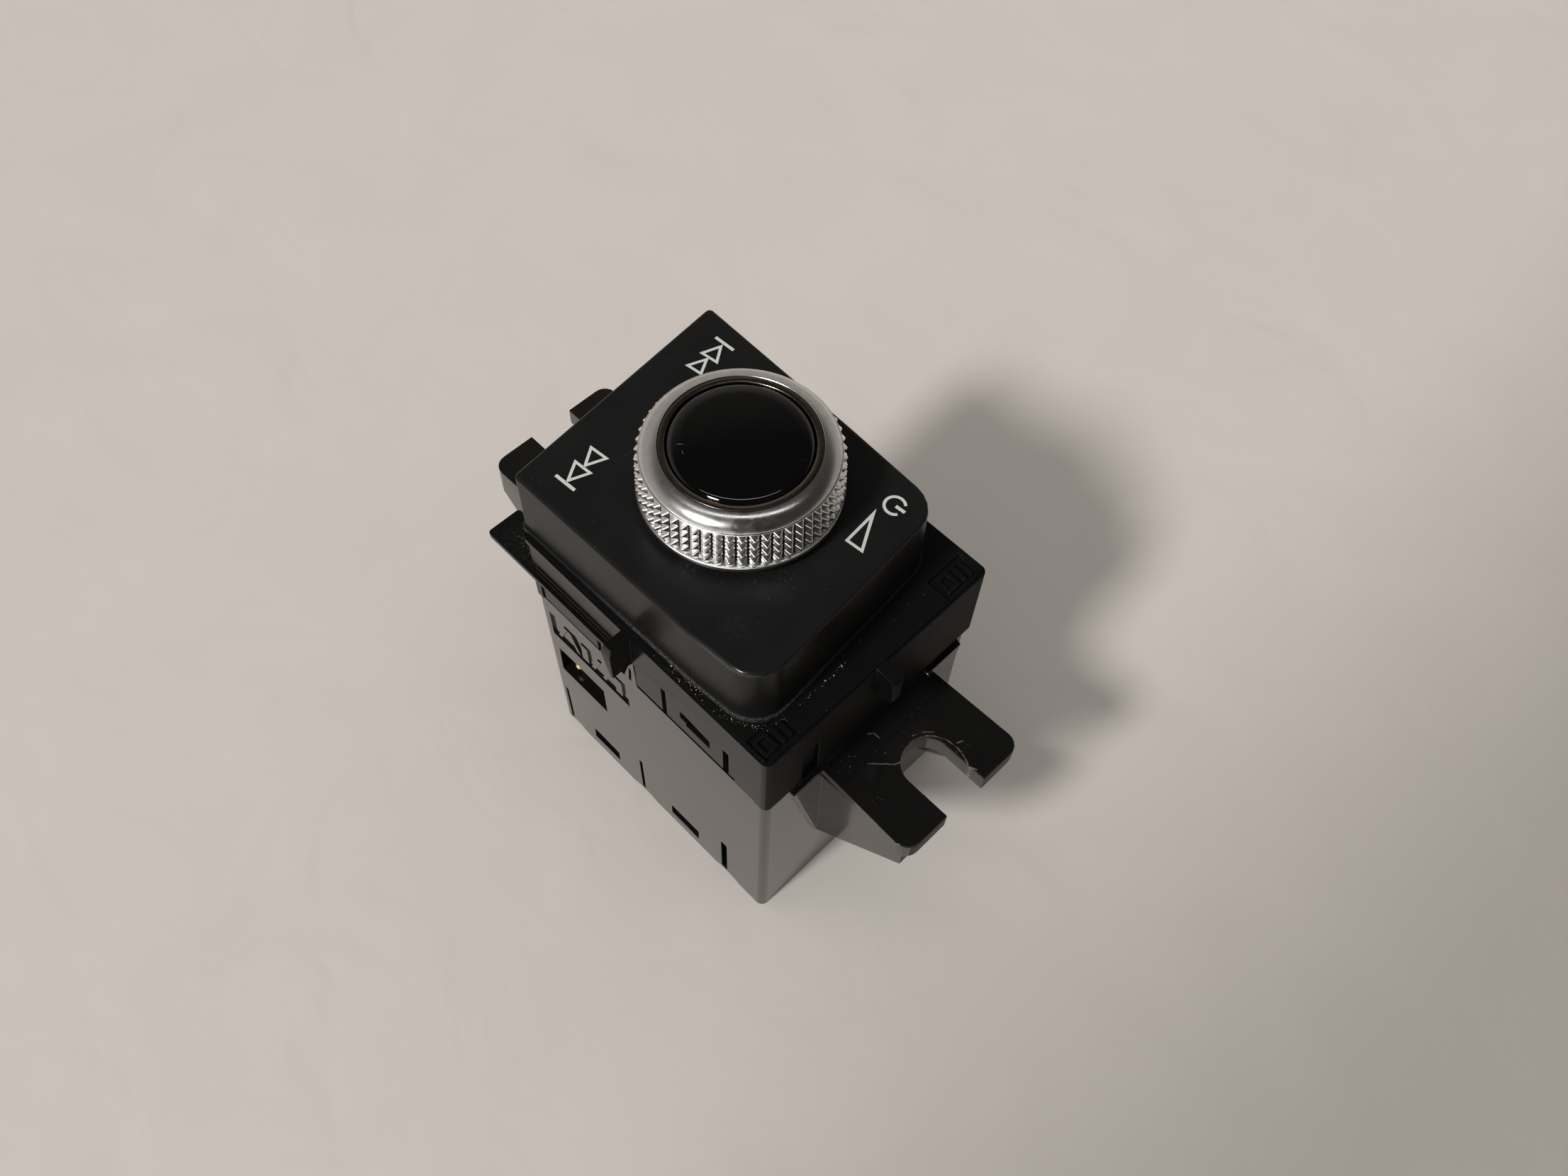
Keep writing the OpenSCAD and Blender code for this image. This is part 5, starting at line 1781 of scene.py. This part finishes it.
@dataclass
class Studio:
    """Table, lamps, room and camera of the photograph's view."""

    table_size: float = 4000
    lights: tuple[Lamp | Panel, ...] = (
        Lamp("key_lamp", (0.72, -0.04, 0.69), 2.1, 9, glossy=False),
        Lamp("glint_lamp", (0.735, 0.085, 0.65), 3.7, 12, diffuse=False),
        Lamp("fill_lamp", (0.1, 0.1, 1.0), 0.9, 120, glossy=False),
        Panel("low_window", (0.88, 0.35, 0.2), 2.0, (1.4, 0.5), 0.5),
        Panel("ceiling_strip", (0.0, 0.0, 1.0), 2.0, (1.7, 0.13), 4.5),
        Panel("sheet_glow", (0.95, 0.3, 0.19), 0.2, (0.3, 0.075), 2.0, diffuse=False),
    )
    flag_edge: Point = (400, 50, 380)
    flag_size: Spot = (3000, 1000)
    flag_clear: float = 0.3
    sky: tuple[tuple[float, Colour], ...] = (
        (0.0, (0.4, 0.37, 0.345)), (0.2, (0.34, 0.318, 0.298)),
        (0.33, (0.13, 0.122, 0.114)), (0.41, (0.035, 0.033, 0.031)),
    )
    sky_lean: Point = (0.15, 0.4, 0.8)
    lens: float = 31.83
    sensor: float = 36
    clip: Spot = (0.01, 20)
    eye: Point = (73.05, 73.77, 222.16)
    right: Point = (-0.7114, 0.7022, 0.0264)
    above: Point = (-0.5944, -0.6213, 0.5106)
    back: Point = (0.3750, 0.3476, 0.8594)

    def build(self) -> None:
        """Sets up the stage."""
        self.table()
        self.flag()
        self.room()
        for light in self.lights:
            light.build()
        self.camera()
        bpy.context.scene.view_settings.view_transform = "Standard"

    def table(self) -> None:
        """Wide plain table that the object rests on."""
        table = Bench.primitive("table", bpy.ops.mesh.primitive_plane_add, size=self.table_size * MM)
        table.data.materials.append(TABLE.material())

    def flag(self) -> None:
        """Half clear card beside the light, which dims the table before the front bracket."""
        (x, y, z), (wide, deep) = self.flag_edge, self.flag_size
        card = Bench.primitive(
            "flag", bpy.ops.mesh.primitive_plane_add, size=MM, location=Vector((x, y + deep / 2, z)) * MM
        )
        card.scale = (wide, deep, 1)
        Bench.settle(card)
        material = bpy.data.materials.new("flag_card")
        shader = Shader(material)
        clear = shader.node("ShaderNodeBsdfTransparent", inputs={"Color": (self.flag_clear,) * 3})
        shader.node("ShaderNodeOutputMaterial", inputs={"Surface": clear})
        card.data.materials.append(material)
        card.visible_camera = card.visible_diffuse = card.visible_glossy = card.visible_transmission = False

    def room(self) -> None:
        """World that is pale along the horizon and dim overhead."""
        world = bpy.data.worlds.new("room")
        bpy.context.scene.world = world
        shader = Shader(world)
        heading = shader.node("ShaderNodeTexCoord", output="Generated")
        height = shader.vector("DOT_PRODUCT", heading, self.sky_lean)
        colour = shader.node("ShaderNodeValToRGB", {"stops": self.sky}, {"Fac": height})
        light = shader.node("ShaderNodeBackground", inputs={"Color": colour})
        shader.node("ShaderNodeOutputWorld", inputs={"Surface": light})

    def camera(self) -> None:
        """Camera at the photograph's place and angle."""
        data = bpy.data.cameras.new("camera")
        data.lens = self.lens
        data.sensor_width = self.sensor
        data.clip_start, data.clip_end = self.clip
        camera = bpy.data.objects.new("camera", data)
        turn = Matrix((self.right, self.above, self.back)).transposed().to_4x4()
        camera.matrix_world = Matrix.Translation(Vector(self.eye) * MM) @ turn
        bpy.context.scene.collection.objects.link(camera)
        bpy.context.scene.camera = camera


def main() -> None:
    """Builds the stage and every sub-assembly in order."""
    logging.basicConfig(level=logging.INFO, format="%(message)s")
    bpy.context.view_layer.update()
    Studio().build()
    for assembly in (Housing(), UpperFrame(), Cover(), Knob(), Inside(), Dust()):
        assembly.build()


if __name__ == "__main__":
    main()
